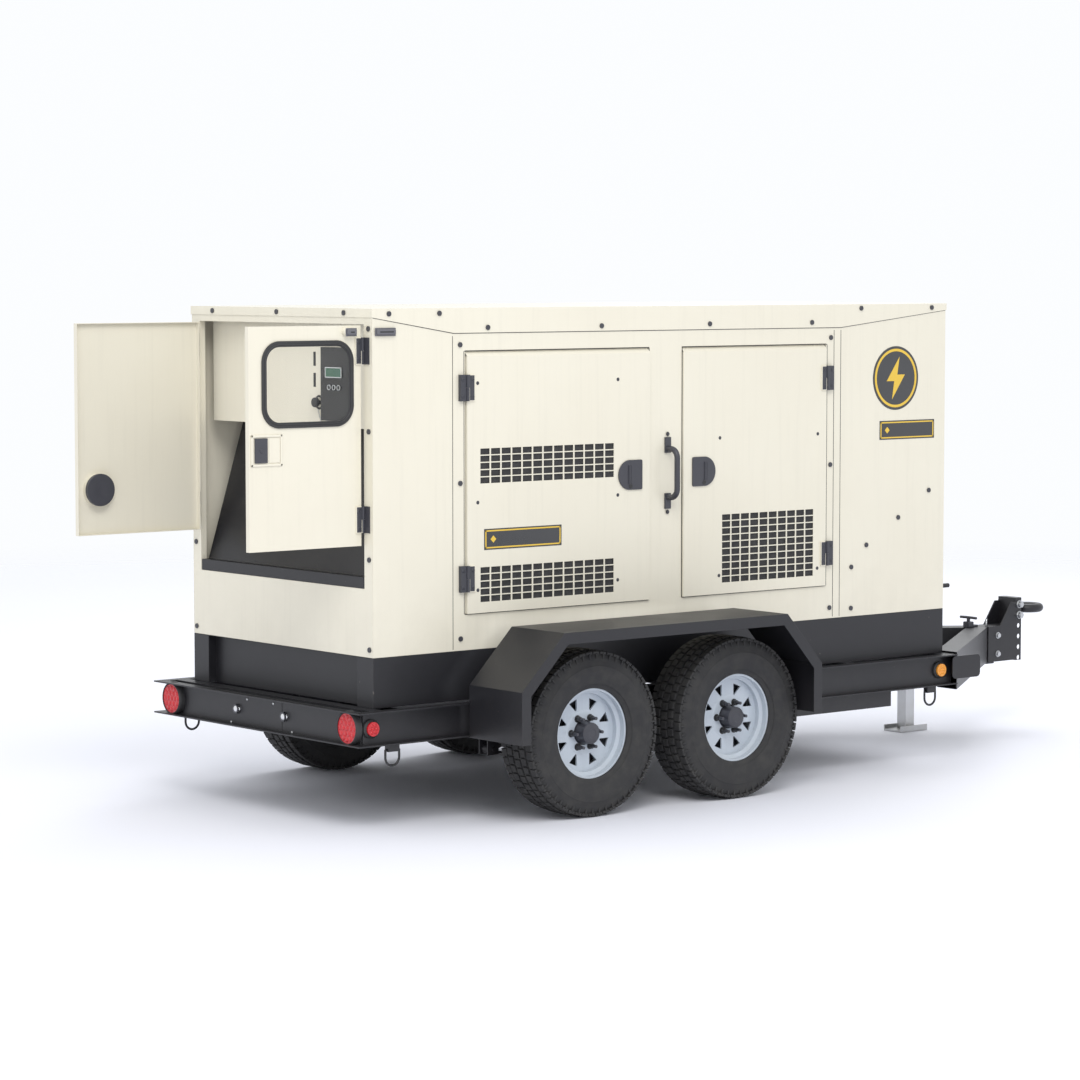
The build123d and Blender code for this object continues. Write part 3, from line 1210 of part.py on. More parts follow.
with BuildPart() as control_module:
    block((box_x[0] - MODULE_T, box_x[0] - SKIN_GAP), MODULE_Y, MODULE_Z)
    bezel = (MODULE_Y[0] + SCREEN_INSET[0], MODULE_Y[1] - SCREEN_INSET[1])
    block(
        (box_x[0] - MODULE_T - 1, box_x[0] - MODULE_T + SCREEN_DEPTH),
        bezel,
        SCREEN_Z,
        mode=Mode.SUBTRACT,
    )
    with BuildSketch(Plane.YZ.offset(box_x[0] - MODULE_T)) as keys:
        with Locations((sum(MODULE_Y) / 2, KEY_Z)):
            with GridLocations(KEY_PITCH, KEY_PITCH, 3, 1):
                Circle(KEY_R)
    extrude(keys.sketch, amount=-KEY_RISE)
save(control_module, "control_module")

with BuildPart() as emergency_stop:
    stem = (STOP_Y, STOP_Z)
    rod((box_x[0] + STOP_STEM[0], *stem), (box_x[0] + STOP_STEM[1], *stem), STOP_STEM_R)
    rod((box_x[0] + STOP_KNOB[0], *stem), (box_x[0] + STOP_KNOB[1], *stem), STOP_KNOB_R)
    fillet(emergency_stop.faces().sort_by(Axis.X)[0].edges(), STOP_ROUND)
save(emergency_stop, "emergency_stop")

with BuildPart() as cable_baffle:
    lip_x = BODY_BACK + WELD_GAP
    lip_top = REAR_OPEN_Z[0] + BAFFLE_LIP
    foot_z = REAR_OPEN_Z[0] + 1
    top = (at(BAFFLE_TOP_REACH), CONTROL_BOTTOM - 2)
    sheet = [
        (lip_x, foot_z),
        (lip_x, lip_top),
        (lip_x + BAFFLE_SHELF, lip_top),
        top,
        (top[0] + TANK_WALL, top[1]),
        (lip_x + BAFFLE_SHELF + TANK_WALL, lip_top - TANK_WALL),
        (lip_x + TANK_WALL, lip_top - TANK_WALL),
        (lip_x + TANK_WALL, foot_z),
    ]
    prism(sheet, side_plane(BAY_HALF), 2 * BAY_HALF)
save(cable_baffle, "cable_baffle")

# ---------------------------------------------------------------- power plant
SKID_Z = BODY_BOTTOM + WELD_GAP
FAN_PLACE = (at(FAN_X), 0, CRANK_Z)
with BuildPart() as engine:
    block_x = (at(ENGINE_X[0]), at(ENGINE_X[1]))
    block(block_x, (-BLOCK_HALF, BLOCK_HALF), BLOCK_Z)
    block(
        (block_x[0] + CROSS_W, block_x[1] - CROSS_W),
        (-HEAD_HALF, HEAD_HALF),
        (BLOCK_Z[1] - ENGINE_LAP, HEAD_TOP),
    )
    block(
        (block_x[0] + 2 * CROSS_W, block_x[1] - 2 * CROSS_W),
        (-SUMP_HALF, SUMP_HALF),
        (SKID_Z + CROSS_W, BLOCK_Z[0] + ENGINE_LAP),
    )
    for x in (block_x[0] + CROSS_W, block_x[1] - CROSS_W):
        arm_half = ENGINE_FOOT_Y + ENGINE_FOOT_R
        block((x - ENGINE_ARM / 2, x + ENGINE_ARM / 2), (-arm_half, arm_half), ENGINE_ARM_Z)
        for s in SIDES.values():
            foot = (x, s * ENGINE_FOOT_Y)
            rod((*foot, SKID_Z), (*foot, ENGINE_ARM_Z[0] + ENGINE_LAP), ENGINE_FOOT_R)
    for k in range(CYLINDERS):
        x = block_x[0] + CYLINDER_PITCH * (k + 1)
        rod((x, 0, HEAD_TOP - ENGINE_LAP), (x, 0, HEAD_TOP + FILLER_CAP_R), FILLER_CAP_R)
    rod((at(SILENCER_X[0]), *SILENCER), (at(SILENCER_X[1]), *SILENCER), SILENCER_R)
    rod((at(EXHAUST_X), *SILENCER), (at(EXHAUST_X), *EXHAUST_PORT), EXHAUST_R)
    block(
        (at(EXHAUST_X) - ENGINE_LAP, at(EXHAUST_X) + ENGINE_LAP),
        (SILENCER[0], -BLOCK_HALF + ENGINE_LAP),
        (BLOCK_Z[1] - 2 * ENGINE_LAP, SILENCER[1]),
    )
    block((at(BATTERY_X[0]), at(BATTERY_X[1])), BATTERY_Y, (SKID_Z, BATTERY_TOP))
    rod((block_x[1] - ENGINE_LAP, 0, CRANK_Z), (at(FAN_X) - FAN_SHAFT_HALF, 0, CRANK_Z), FAN_DRIVE_R)
    rod(
        (at(FAN_X) - FAN_SHAFT_HALF - ENGINE_LAP, 0, CRANK_Z),
        (at(FAN_X) + FAN_SHAFT_HALF, 0, CRANK_Z),
        FAN_SHAFT_R,
    )
save(engine, "engine")

with BuildPart() as alternator:
    alt = (at(ALTERNATOR_X[0]), at(ALTERNATOR_X[1]))
    rod((alt[0], 0, CRANK_Z), (alt[1], 0, CRANK_Z), ALTERNATOR_R)
    nose_long, nose_r = ALTERNATOR_NOSE
    rod((alt[0] - nose_long, 0, CRANK_Z), (alt[0] + ENGINE_LAP, 0, CRANK_Z), nose_r)
    block(
        (alt[0] + CROSS_W, alt[1] - 2 * CROSS_W),
        (-ALTERNATOR_BOX_HALF, ALTERNATOR_BOX_HALF),
        (CRANK_Z + ALTERNATOR_BOX_RISE[0], CRANK_Z + ALTERNATOR_BOX_RISE[1]),
    )
    for s in SIDES.values():
        foot_y = s * ALTERNATOR_FOOT_Y
        block(
            (alt[0] + CROSS_W, alt[1] - CROSS_W),
            (foot_y - ALTERNATOR_FOOT_HALF, foot_y + ALTERNATOR_FOOT_HALF),
            (SKID_Z, CRANK_Z - CROSS_W),
        )
save(alternator, "alternator")

with BuildPart() as engine_fan:
    rod(
        (at(FAN_X) - FAN_SHAFT_HALF / 2, 0, CRANK_Z),
        (at(FAN_X) + FAN_SHAFT_HALF / 2, 0, CRANK_Z),
        FAN_HUB_R,
    )
    blade_plane = Plane(origin=FAN_PLACE, x_dir=(0, 1, 0), z_dir=(1, 0, 0)).offset(-FAN_BLADE_T / 2)
    with BuildSketch(blade_plane) as blades:
        with PolarLocations((FAN_HUB_R + FAN_R) / 2, FAN_BLADES):
            Rectangle(FAN_R - FAN_HUB_R + 2 * FAN_BLADE_T, FAN_BLADE_W)
    extrude(blades.sketch, amount=FAN_BLADE_T)
    rod(
        (at(FAN_X) - FAN_SHAFT_HALF, 0, CRANK_Z),
        (at(FAN_X) + FAN_SHAFT_HALF, 0, CRANK_Z),
        FAN_SHAFT_R + RUNNING_GAP,
        mode=Mode.SUBTRACT,
    )
save(engine_fan, "engine_fan")

with BuildPart() as radiator:
    rad = (at(RADIATOR_X[0]), at(RADIATOR_X[1]))
    block(rad, (-RADIATOR_HALF, RADIATOR_HALF), (SKID_Z, RADIATOR_TOP))
    for face, inward in zip(rad, (1, -1)):
        recess = sorted((face - inward, face + inward * CORE_DEPTH))
        block(recess, (-CORE_HALF, CORE_HALF), CORE_Z, mode=Mode.SUBTRACT)
    fin_pitch = 2 * CORE_HALF / FINS
    for k in range(FINS):
        y = -CORE_HALF + fin_pitch * (k + 0.5)
        block(
            (rad[0] + FIN_HALF, rad[1] - FIN_HALF),
            (y - FIN_HALF, y + FIN_HALF),
            (CORE_Z[0] - ENGINE_LAP, CORE_Z[1] + ENGINE_LAP),
        )
save(radiator, "radiator")
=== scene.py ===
"""Looks of a towable diesel generator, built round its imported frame.

Metres; +X is the tow direction, +Y left, +Z up.
"""

import json
import logging
import math
from dataclasses import dataclass, field
from enum import Enum

import bmesh
import bpy
from mathutils import Matrix, Vector

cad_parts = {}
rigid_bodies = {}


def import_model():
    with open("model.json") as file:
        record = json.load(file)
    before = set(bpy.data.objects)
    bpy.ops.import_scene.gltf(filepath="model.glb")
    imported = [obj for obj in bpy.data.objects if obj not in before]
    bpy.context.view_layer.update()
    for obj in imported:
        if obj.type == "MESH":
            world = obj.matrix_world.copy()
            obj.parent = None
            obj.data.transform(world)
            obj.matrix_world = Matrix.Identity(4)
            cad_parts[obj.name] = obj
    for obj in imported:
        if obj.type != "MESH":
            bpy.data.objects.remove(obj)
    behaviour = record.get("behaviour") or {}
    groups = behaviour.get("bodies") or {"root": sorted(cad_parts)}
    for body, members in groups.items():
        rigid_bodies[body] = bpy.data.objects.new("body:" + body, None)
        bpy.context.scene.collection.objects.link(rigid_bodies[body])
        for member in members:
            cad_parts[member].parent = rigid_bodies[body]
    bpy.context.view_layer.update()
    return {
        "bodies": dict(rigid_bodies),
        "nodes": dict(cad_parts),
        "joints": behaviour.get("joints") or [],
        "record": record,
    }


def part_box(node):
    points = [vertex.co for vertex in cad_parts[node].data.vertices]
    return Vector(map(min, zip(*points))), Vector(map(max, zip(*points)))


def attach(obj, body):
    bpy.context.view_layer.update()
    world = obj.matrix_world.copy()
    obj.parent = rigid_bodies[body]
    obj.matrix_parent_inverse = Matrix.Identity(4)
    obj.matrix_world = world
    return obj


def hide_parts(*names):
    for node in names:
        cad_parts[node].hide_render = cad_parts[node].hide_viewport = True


LOG = logging.getLogger("generator")
TANDEM_X = -0.7375
SIDES = {"right": -1, "left": 1}
Point = tuple[float, float, float]
Span = tuple[float, float]
Colour = tuple[float, float, float]
Profile = tuple[Span, ...] | list[Span]


def at(reach: float) -> float:
    """Returns the place along X of a reach from the middle of the tandem axles."""
    return TANDEM_X + reach


# ---------------------------------------------------------------- shader graphs
class Signal:
    """A number socket that takes part in Python expressions, each of which adds its Math node."""

    def __init__(self, graph: "Graph", socket: bpy.types.NodeSocket) -> None:
        """Wraps a socket.

        Args:
            graph: The graph that owns the socket.
            socket: An output that carries a number.
        """
        self.graph = graph
        self.socket = socket

    def _math(self, operation: str, *values: "Signal | float", clamp: bool = False) -> "Signal":
        """Adds one Math node.

        Args:
            operation: The Math node's operation.
            values: Its inputs, in order.
            clamp: Whether the result is held between 0 and 1.

        Returns:
            The node's result.
        """
        settings = {"operation": operation, "use_clamp": clamp}
        made = self.graph.node("ShaderNodeMath", settings, dict(enumerate(values)))
        return Signal(self.graph, made.outputs[0])

    def __add__(self, other: "Signal | float") -> "Signal":
        """Adds."""
        return self._math("ADD", self, other)

    __radd__ = __add__

    def __mul__(self, other: "Signal | float") -> "Signal":
        """Multiplies."""
        return self._math("MULTIPLY", self, other)

    __rmul__ = __mul__

    def __sub__(self, other: "Signal | float") -> "Signal":
        """Subtracts."""
        return self._math("SUBTRACT", self, other)

    def __rsub__(self, other: "Signal | float") -> "Signal":
        """Subtracts from the other value."""
        return self._math("SUBTRACT", other, self)

    def __pow__(self, other: "Signal | float") -> "Signal":
        """Raises to a power."""
        return self._math("POWER", self, other)

    def held(self) -> "Signal":
        """Holds the value between 0 and 1."""
        return self._math("ADD", self, 0.0, clamp=True)

    def ramp(self, low: float, high: float) -> "Signal":
        """Stretches the range from low to high over 0 to 1, and holds it there.

        Args:
            low: The value that becomes 0.
            high: The value that becomes 1.

        Returns:
            The stretched signal.
        """
        return ((self - low) * (1 / (high - low))).held()


class Graph:
    """The node tree of one material, ending in one Principled shader."""

    def __init__(self, name: str) -> None:
        """Starts an empty tree.

        Args:
            name: The material's name.
        """
        self.material = bpy.data.materials.new(name)
        self.material.use_nodes = True
        self.tree = self.material.node_tree
        self.tree.nodes.clear()
        self.shader = self.node("ShaderNodeBsdfPrincipled")
        out = self.node("ShaderNodeOutputMaterial")
        self.tree.links.new(self.shader.outputs[0], out.inputs[0])
        self.place = self.node("ShaderNodeTexCoord").outputs["Object"]

    def node(self, kind: str, settings: dict | None = None, values: dict | None = None) -> bpy.types.Node:
        """Adds any node.

        Args:
            kind: The node's type.
            settings: Its own properties, set first.
            values: The value or the link of each input, by name or number.

        Returns:
            The node.
        """
        made = self.tree.nodes.new(kind)
        for key, value in (settings or {}).items():
            setattr(made, key, value)
        for key, value in (values or {}).items():
            source = value.socket if isinstance(value, Signal) else value
            if isinstance(source, bpy.types.NodeSocket):
                self.tree.links.new(source, made.inputs[key])
            else:
                made.inputs[key].default_value = source
        return made

    def axes(self) -> tuple[Signal, Signal, Signal]:
        """Returns the surface's place along X, Y and Z."""
        split = self.node("ShaderNodeSeparateXYZ", None, {0: self.place})
        return tuple(Signal(self, socket) for socket in split.outputs)

    def noise(self, scale: float, detail: float = 3.0, stretch: Point = (1, 1, 1)) -> Signal:
        """Adds a noise on Object coordinates.

        Args:
            scale: Features a metre.
            detail: Its number of octaves.
            stretch: The scale's share along each axis.

        Returns:
            The noise, from 0 to 1.
        """
        moved = self.node("ShaderNodeMapping", None, {"Vector": self.place, "Scale": stretch})
        values = {"Vector": moved.outputs[0], "Scale": scale, "Detail": detail, "Roughness": 0.55}
        return Signal(self, self.node("ShaderNodeTexNoise", None, values).outputs[0])

    def cells(self, scale: float) -> Signal:
        """Returns the distance to the middle of the nearest cell, with so many cells a metre."""
        values = {"Vector": self.place, "Scale": scale}
        return Signal(self, self.node("ShaderNodeTexVoronoi", None, values).outputs[0])

    def mix(self, share: Signal | float, first: object, second: object) -> bpy.types.NodeSocket:
        """Mixes two colours.

        Args:
            share: How much of the second colour.
            first: A colour or a colour socket.
            second: The same.

        Returns:
            The mixed colour's socket.
        """
        ends = [(*end, 1.0) if isinstance(end, tuple) else end for end in (first, second)]
        made = self.node("ShaderNodeMix", {"data_type": "RGBA"}, {0: share, 6: ends[0], 7: ends[1]})
        return made.outputs[2]

    def feed(self, socket: str, value: object) -> None:
        """Sets or links one of the shader's inputs.

        Args:
            socket: The input's name.
            value: A number, a colour, a signal or a socket.
        """
        source = value.socket if isinstance(value, Signal) else value
        if isinstance(source, bpy.types.NodeSocket):
            self.tree.links.new(source, self.shader.inputs[socket])
        else:
            self.shader.inputs[socket].default_value = (*source, 1.0) if isinstance(source, tuple) else source

    def bump(self, height: Signal, depth: float) -> None:
        """Raises the surface's shading by a height of so many metres."""
        values = {"Strength": 1.0, "Distance": depth, "Height": height}
        self.feed("Normal", self.node("ShaderNodeBump", None, values).outputs[0])


# ---------------------------------------------------------------- finishes
class Soil(Enum):
    """What settles on a surface near the road."""

    NONE = 0.0
    FILM = 0.10
    DUST = 0.35


@dataclass(frozen=True)
class Patches:
    """A noise, and the range of it that is stretched over 0 to 1."""

    scale: float
    detail: float
    low: float
    high: float
    stretch: Point = (1, 1, 1)

    def on(self, graph: Graph) -> Signal:
        """Adds the patches to a graph and returns their signal."""
        return graph.noise(self.scale, self.detail, self.stretch).ramp(self.low, self.high)


@dataclass(frozen=True)
class Coat:
    """A painted, plated or moulded finish: a colour that drifts, a fine grain, run-down streaks and road soil."""

    slot: str
    colour: Colour
    drift: Colour
    roughness: float
    metallic: float = 0.0
    clear: float = 0.0
    grain: float = 700.0
    depth: float = 0.00008
    streaks: float = 0.0
    chips: float = 0.0
    soil: Soil = Soil.DUST
    soil_top: float = 0.9
    broad: Patches = Patches(1.7, 4.0, 0.35, 0.68)
    cloud: Span = (14.0, 5.0)
    drift_share: Span = (0.6, 0.25)
    runs: Patches = Patches(1.0, 3.0, 0.52, 0.78, (38.0, 38.0, 1.6))
    run_dark: float = 0.62
    rough_share: Span = (0.06, 0.07)
    chip_spots: Patches = Patches(46.0, 6.0, 0.70, 0.735)
    chip_zones: Patches = Patches(3.1, 2.0, 0.5, 0.62)
    chip_colour: Colour = (0.30, 0.27, 0.24)
    chip_rough: float = 0.25
    dirt: Patches = Patches(9.0, 6.0, 0.34, 0.72)
    dirt_colour: Colour = (0.33, 0.29, 0.235)
    dirt_fall: float = 2.2
    dirt_rough: float = 0.3
    clear_rough: float = 0.08
    relief: Span = (0.7, 0.3)

    def material(self) -> bpy.types.Material:
        """Returns the finish as a material."""
        graph = Graph(self.slot)
        broad = self.broad.on(graph)
        fine = graph.noise(self.grain, 2.0)
        cloudy = graph.noise(*self.cloud)
        colour = graph.mix(broad * self.drift_share[0] + cloudy * self.drift_share[1], self.colour, self.drift)
        run = self.runs.on(graph) * self.streaks
        colour = graph.mix(run, colour, tuple(self.run_dark * c for c in self.colour))
        grainy, patchy = self.rough_share
        rough = fine * grainy + broad * patchy + (self.roughness - grainy)
        if self.chips:
            chip = self.chip_spots.on(graph) * self.chip_zones.on(graph)
            colour = graph.mix(chip * self.chips, colour, self.chip_colour)
            rough = rough + chip * self.chip_rough
        if self.soil is not Soil.NONE:
            height = graph.axes()[2]
            low = (self.soil_top - height).ramp(0.0, self.soil_top) ** self.dirt_fall
            dirt = low * self.dirt.on(graph) * self.soil.value
            colour = graph.mix(dirt, colour, self.dirt_colour)
            rough = (rough + dirt * self.dirt_rough).held()
        graph.feed("Base Color", colour)
        graph.feed("Roughness", rough)
        graph.feed("Metallic", self.metallic)
        graph.feed("Coat Weight", self.clear)
        graph.feed("Coat Roughness", self.clear_rough)
        graph.bump(fine * self.relief[0] + cloudy * self.relief[1], self.depth)
        return graph.material


@dataclass(frozen=True)
class Rubber:
    """Tyre rubber with a fine grain, greyer with dust and towards the ground."""

    slot: str = "tyre_rubber"
    colour: Colour = (0.026, 0.026, 0.028)
    grey_tone: Colour = (0.066, 0.064, 0.061)
    dust: Patches = Patches(22.0, 6.0, 0.40, 0.70)
    crown_z: float = 0.5
    grey_tone_share: Span = (0.45, 0.2)
    grain: float = 480.0
    roughness: Point = (0.16, 0.08, 0.62)
    specular: float = 0.35
    depth: float = 0.00025

    def material(self) -> bpy.types.Material:
        """Returns the finish as a material."""
        graph = Graph(self.slot)
        dust = self.dust.on(graph)
        low = (self.crown_z - graph.axes()[2]).ramp(0.0, self.crown_z)
        # greyer in the dust patches, and by height alone towards the bottom of the tyre
        colour = graph.mix(dust * self.grey_tone_share[0] + low * self.grey_tone_share[1], self.colour, self.grey_tone)
        fine = graph.noise(self.grain, 2.0)
        dust_and_peak_light, grainy, base = self.roughness
        graph.feed("Base Color", colour)
        graph.feed("Roughness", (dust * dust_and_peak_light + fine * grainy + base).held())
        graph.feed("Specular IOR Level", self.specular)
        graph.bump(fine, self.depth)
        return graph.material


@dataclass(frozen=True)
class Lens:
    """A moulded lamp lens: deep colour with a fine pattern of beads inside, under a glossy face."""

    slot: str
    colour: Colour
    deep: Colour

    def material(self) -> bpy.types.Material:
        """Returns the finish as a material."""
        graph = Graph(self.slot)
        bead = graph.cells(150.0).ramp(0.0, 0.62)
        cloud = graph.noise(26.0)
        graph.feed("Base Color", graph.mix((bead * 0.75 + cloud * 0.2).held(), self.colour, self.deep))
        graph.feed("Roughness", cloud * 0.08 + 0.28)
        graph.feed("Coat Weight", 0.3)
        graph.feed("Coat Roughness", 0.06)
        graph.bump(1.0 - bead, 0.0003)
        return graph.material


@dataclass(frozen=True)
class Pane:
    """Clear window plastic with faint wiping marks."""

    slot: str = "clear_pane"
    tint: Colour = (0.40, 0.44, 0.45)

    def material(self) -> bpy.types.Material:
        """Returns the finish as a material."""
        graph = Graph(self.slot)
        wiped = graph.noise(6.0, 5.0, (1.0, 1.0, 5.0)).ramp(0.35, 0.8)
        graph.feed("Base Color", graph.mix(wiped * 0.3, self.tint, (0.60, 0.61, 0.60)))
        graph.feed("Roughness", wiped * 0.14 + 0.04)
        graph.feed("Alpha", wiped * 0.015 + 0.012)
        graph.feed("IOR", 1.49)
        graph.bump(wiped, 0.0001)
        return graph.material


@dataclass(frozen=True)
class Foam:
    """Open-cell sound foam, near black, with convoluted peaks: painted light on the peaks and painted shade in the
    valleys between them.
    """

    slot: str = "black_plastic"
    colour: Colour = (0.024, 0.024, 0.025)
    # painted light: the lighter colour of the peaks; the field colour above is the painted shade of the valleys
    dust_and_peak_light: Colour = (0.050, 0.050, 0.052)

    def material(self) -> bpy.types.Material:
        """Returns the finish as a material."""
        graph = Graph("sound_foam")
        peaks = graph.cells(34.0).ramp(0.0, 0.75)
        pores = graph.noise(420.0, 2.0)
        # painted shade: the valleys between the peaks darken towards colour, and the peaks take the painted light
        # colour
        graph.feed("Base Color", graph.mix((peaks * 0.5 + pores * 0.3).held(), self.dust_and_peak_light, self.colour))
        graph.feed("Roughness", pores * 0.1 + 0.86)
        graph.bump(1.0 - peaks + pores * 0.2, 0.006)
        return graph.material


class Paint:
    """Every finish of the machine, each made once when first asked for."""

    KINDS = {
        "panel_cream": Coat("panel_cream", (0.765, 0.728, 0.612), (0.735, 0.693, 0.576), 0.34, clear=0.25,
                            grain=520.0, depth=0.00012, streaks=0.10, soil_top=1.5),
        "frame_black": Coat("frame_black", (0.011, 0.011, 0.014), (0.017, 0.017, 0.021), 0.42, clear=0.05,
                            grain=480.0, depth=0.00016, streaks=0.12, chips=0.35, soil=Soil.FILM, soil_top=0.75),
        "rim_paint": Coat("rim_paint", (0.50, 0.555, 0.62), (0.44, 0.495, 0.56), 0.27, clear=0.5, streaks=0.15,
                          chips=0.25, soil=Soil.DUST, soil_top=0.5),
        "zinc_plate": Coat("zinc_plate", (0.60, 0.61, 0.62), (0.46, 0.47, 0.49), 0.30, metallic=1.0, grain=260.0,
                           depth=0.0001),
        "chrome": Coat("zinc_plate", (0.80, 0.80, 0.82), (0.72, 0.73, 0.75), 0.12, metallic=1.0, soil=Soil.NONE),
        "black_hardware": Coat("black_hardware", (0.040, 0.041, 0.052), (0.060, 0.061, 0.072), 0.40, grain=900.0,
                               depth=0.00014, soil=Soil.NONE),
        "gasket_rubber": Coat("gasket_rubber", (0.022, 0.022, 0.024), (0.040, 0.040, 0.042), 0.62, grain=600.0,
                              soil=Soil.NONE),
        "black_plastic": Coat("black_plastic", (0.026, 0.026, 0.028), (0.040, 0.040, 0.043), 0.38, grain=1100.0,
                              depth=0.0001, soil=Soil.NONE),
        "engine_iron": Coat("engine_iron", (0.060, 0.062, 0.060), (0.10, 0.095, 0.080), 0.55, grain=300.0,
                            depth=0.0004, chips=0.4, soil=Soil.NONE),
        "radiator_core": Coat("radiator_core", (0.16, 0.16, 0.17), (0.24, 0.24, 0.25), 0.45, metallic=0.8,
                              soil=Soil.NONE),
        "sign_dark": Coat("black_plastic", (0.030, 0.031, 0.035), (0.045, 0.046, 0.050), 0.30, clear=0.4,
                          soil=Soil.NONE),
        "sign_yellow": Coat("amber_lens", (0.78, 0.52, 0.06), (0.70, 0.46, 0.05), 0.35, soil=Soil.NONE),
        "sign_pale": Coat("panel_cream", (0.62, 0.64, 0.64), (0.54, 0.56, 0.56), 0.4, soil=Soil.NONE),
        "screen_green": Coat("clear_pane", (0.045, 0.13, 0.09), (0.038, 0.11, 0.076), 0.18, clear=0.4, soil=Soil.NONE),
        "catch_grey": Coat("black_hardware", (0.13, 0.13, 0.15), (0.10, 0.10, 0.115), 0.42, grain=900.0,
                           soil=Soil.NONE),
        "tyre_rubber": Rubber(),
        "red_lens": Lens("red_lens", (0.68, 0.014, 0.024), (0.46, 0.008, 0.014)),
        "amber_lens": Lens("amber_lens", (0.90, 0.40, 0.04), (0.74, 0.27, 0.02)),
        "clear_pane": Pane(),
        "foam": Foam(),
    }
    made: dict[str, bpy.types.Material] = {}

    @classmethod
    def get(cls, kind: str) -> bpy.types.Material:
        """Returns the material of a finish.

        Args:
            kind: The finish's name.

        Returns:
            The one material that all pieces with this finish share.
        """
        if kind not in cls.made:
            cls.made[kind] = cls.KINDS[kind].material()
        return cls.made[kind]


# ---------------------------------------------------------------- modelling
class Shop:
    """The modelling steps that every sub-assembly uses."""

    @staticmethod
    def pick(piece: bpy.types.Object) -> None:
        """Selects one object alone and makes it the active one."""
        if bpy.context.object and bpy.context.object.mode != "OBJECT":
            bpy.ops.object.mode_set(mode="OBJECT")
        for other in bpy.context.selected_objects:
            other.select_set(False)
        piece.select_set(True)
        bpy.context.view_layer.objects.active = piece

    @classmethod
    def edit(cls, piece: bpy.types.Object) -> None:
        """Opens one object alone in Edit Mode with all of its mesh selected."""
        cls.pick(piece)
        bpy.ops.object.mode_set(mode="EDIT")
        bpy.ops.mesh.select_all(action="SELECT")

    @staticmethod
    def add(name: str, data: bpy.types.ID) -> bpy.types.Object:
        """Adds an object to the scene.

        Args:
            name: Its name.
            data: Its mesh, curve, light or camera.

        Returns:
            The object.
        """
        made = bpy.data.objects.new(name, data)
        bpy.context.scene.collection.objects.link(made)
        return made

    @classmethod
    def bevel(cls, piece: bpy.types.Object, width: float, segments: int = 2, angle: float = 40.0) -> None:
        """Rounds a piece's sharp edges with a modifier and applies it.

        Args:
            piece: The piece.
            width: The bevel's width.
            segments: Its number of steps.
            angle: The edges sharper than this are rounded, in degrees.
        """
        cls.pick(piece)
        round_off = piece.modifiers.new("round", "BEVEL")
        round_off.width = width
        round_off.segments = segments
        round_off.limit_method = "ANGLE"
        round_off.angle_limit = math.radians(angle)
        bpy.ops.object.modifier_apply(modifier=round_off.name)

    @classmethod
    def block(cls, x: Span, y: Span, z: Span, bevel: float = 0.002, segments: int = 2) -> bpy.types.Object:
        """Models a bevelled block between two corners.

        Args:
            x: Its span along X.
            y: Its span along Y.
            z: Its span along Z.
            bevel: The width of its rounded edges.
            segments: The steps of the rounding.

        Returns:
            The block, with its place in its mesh.
        """
        bpy.ops.mesh.primitive_cube_add(size=1, location=[sum(s) / 2 for s in (x, y, z)],
                                        scale=[abs(s[1] - s[0]) for s in (x, y, z)])
        made = bpy.context.object
        cls.pick(made)
        bpy.ops.object.transform_apply(location=True, rotation=True, scale=True)
        if bevel:
            cls.bevel(made, bevel, segments)
        return made

    @classmethod
    def lathe(cls, profile: Profile, centre: Point = (0, 0, 0), axis: Point = (0, 0, 1),
              steps: int = 48) -> bpy.types.Object:
        """Spins a profile of (along, radius) points about an axis.

        Args:
            profile: The outline, from one end on the axis to the other, or a closed loop.
            centre: Where along = 0 lies.
            axis: The direction of the axis.
            steps: The number of steps round.

        Returns:
            The turned piece.
        """
        mesh = bpy.data.meshes.new("turned")
        closed = profile[0][1] > 1e-6
        count = len(profile)
        edges = [(k, (k + 1) % count) for k in range(count if closed else count - 1)]
        mesh.from_pydata([(radius, 0, along) for along, radius in profile], edges, [])
        made = cls.add("turned", mesh)
        cls.edit(made)
        bpy.ops.mesh.spin(steps=steps, angle=math.tau, center=(0, 0, 0), axis=(0, 0, 1))
        bpy.ops.mesh.select_all(action="SELECT")
        bpy.ops.mesh.remove_doubles(threshold=1e-5)
        bpy.ops.mesh.normals_make_consistent(inside=False)
        bpy.ops.object.mode_set(mode="OBJECT")
        turn = Vector(axis).to_track_quat("Z", "Y").to_matrix().to_4x4()
        mesh.transform(Matrix.Translation(centre) @ turn)
        return made

    @classmethod
    def wire(cls, points: list[Point], radius: float, closed: bool = False) -> bpy.types.Object:
        """Models a bent round bar along a smooth line.

        Args:
            points: The line's control points.
            radius: The bar's radius.
            closed: Whether its ends meet.

        Returns:
            The bar as a mesh.
        """
        curve = bpy.data.curves.new("bar", "CURVE")
        curve.dimensions = "3D"
        curve.bevel_depth = radius
        curve.bevel_resolution = 3
        curve.use_fill_caps = not closed
        line = curve.splines.new("NURBS")
        line.points.add(len(points) - 1)
        for control, point in zip(line.points, points):
            control.co = (*point, 1)
        line.order_u = 3
        line.use_endpoint_u = not closed
        line.use_cyclic_u = closed
        line.resolution_u = 8
        made = cls.add("bar", curve)
        cls.pick(made)
        bpy.ops.object.convert(target="MESH")
        return bpy.context.object

    @classmethod
    def repeat(cls, master: bpy.types.Object, places: list[Matrix]) -> bpy.types.Object:
        """Copies a piece to many places, each copy with its own vertices, and removes the first.

        Args:
            master: The piece to copy.
            places: Where each copy goes.

        Returns:
            All the copies as one piece.
        """
        gathered = bmesh.new()
        for place in places:
            part = master.data.copy()
            part.transform(place, shape_keys=False)
            if place.determinant() < 0:
                part.flip_normals()
            gathered.from_mesh(part)
            bpy.data.meshes.remove(part)
        mesh = bpy.data.meshes.new("copies")
        gathered.to_mesh(mesh)
        gathered.free()
        made = cls.add("copies", mesh)
        bpy.data.objects.remove(master)
        return made

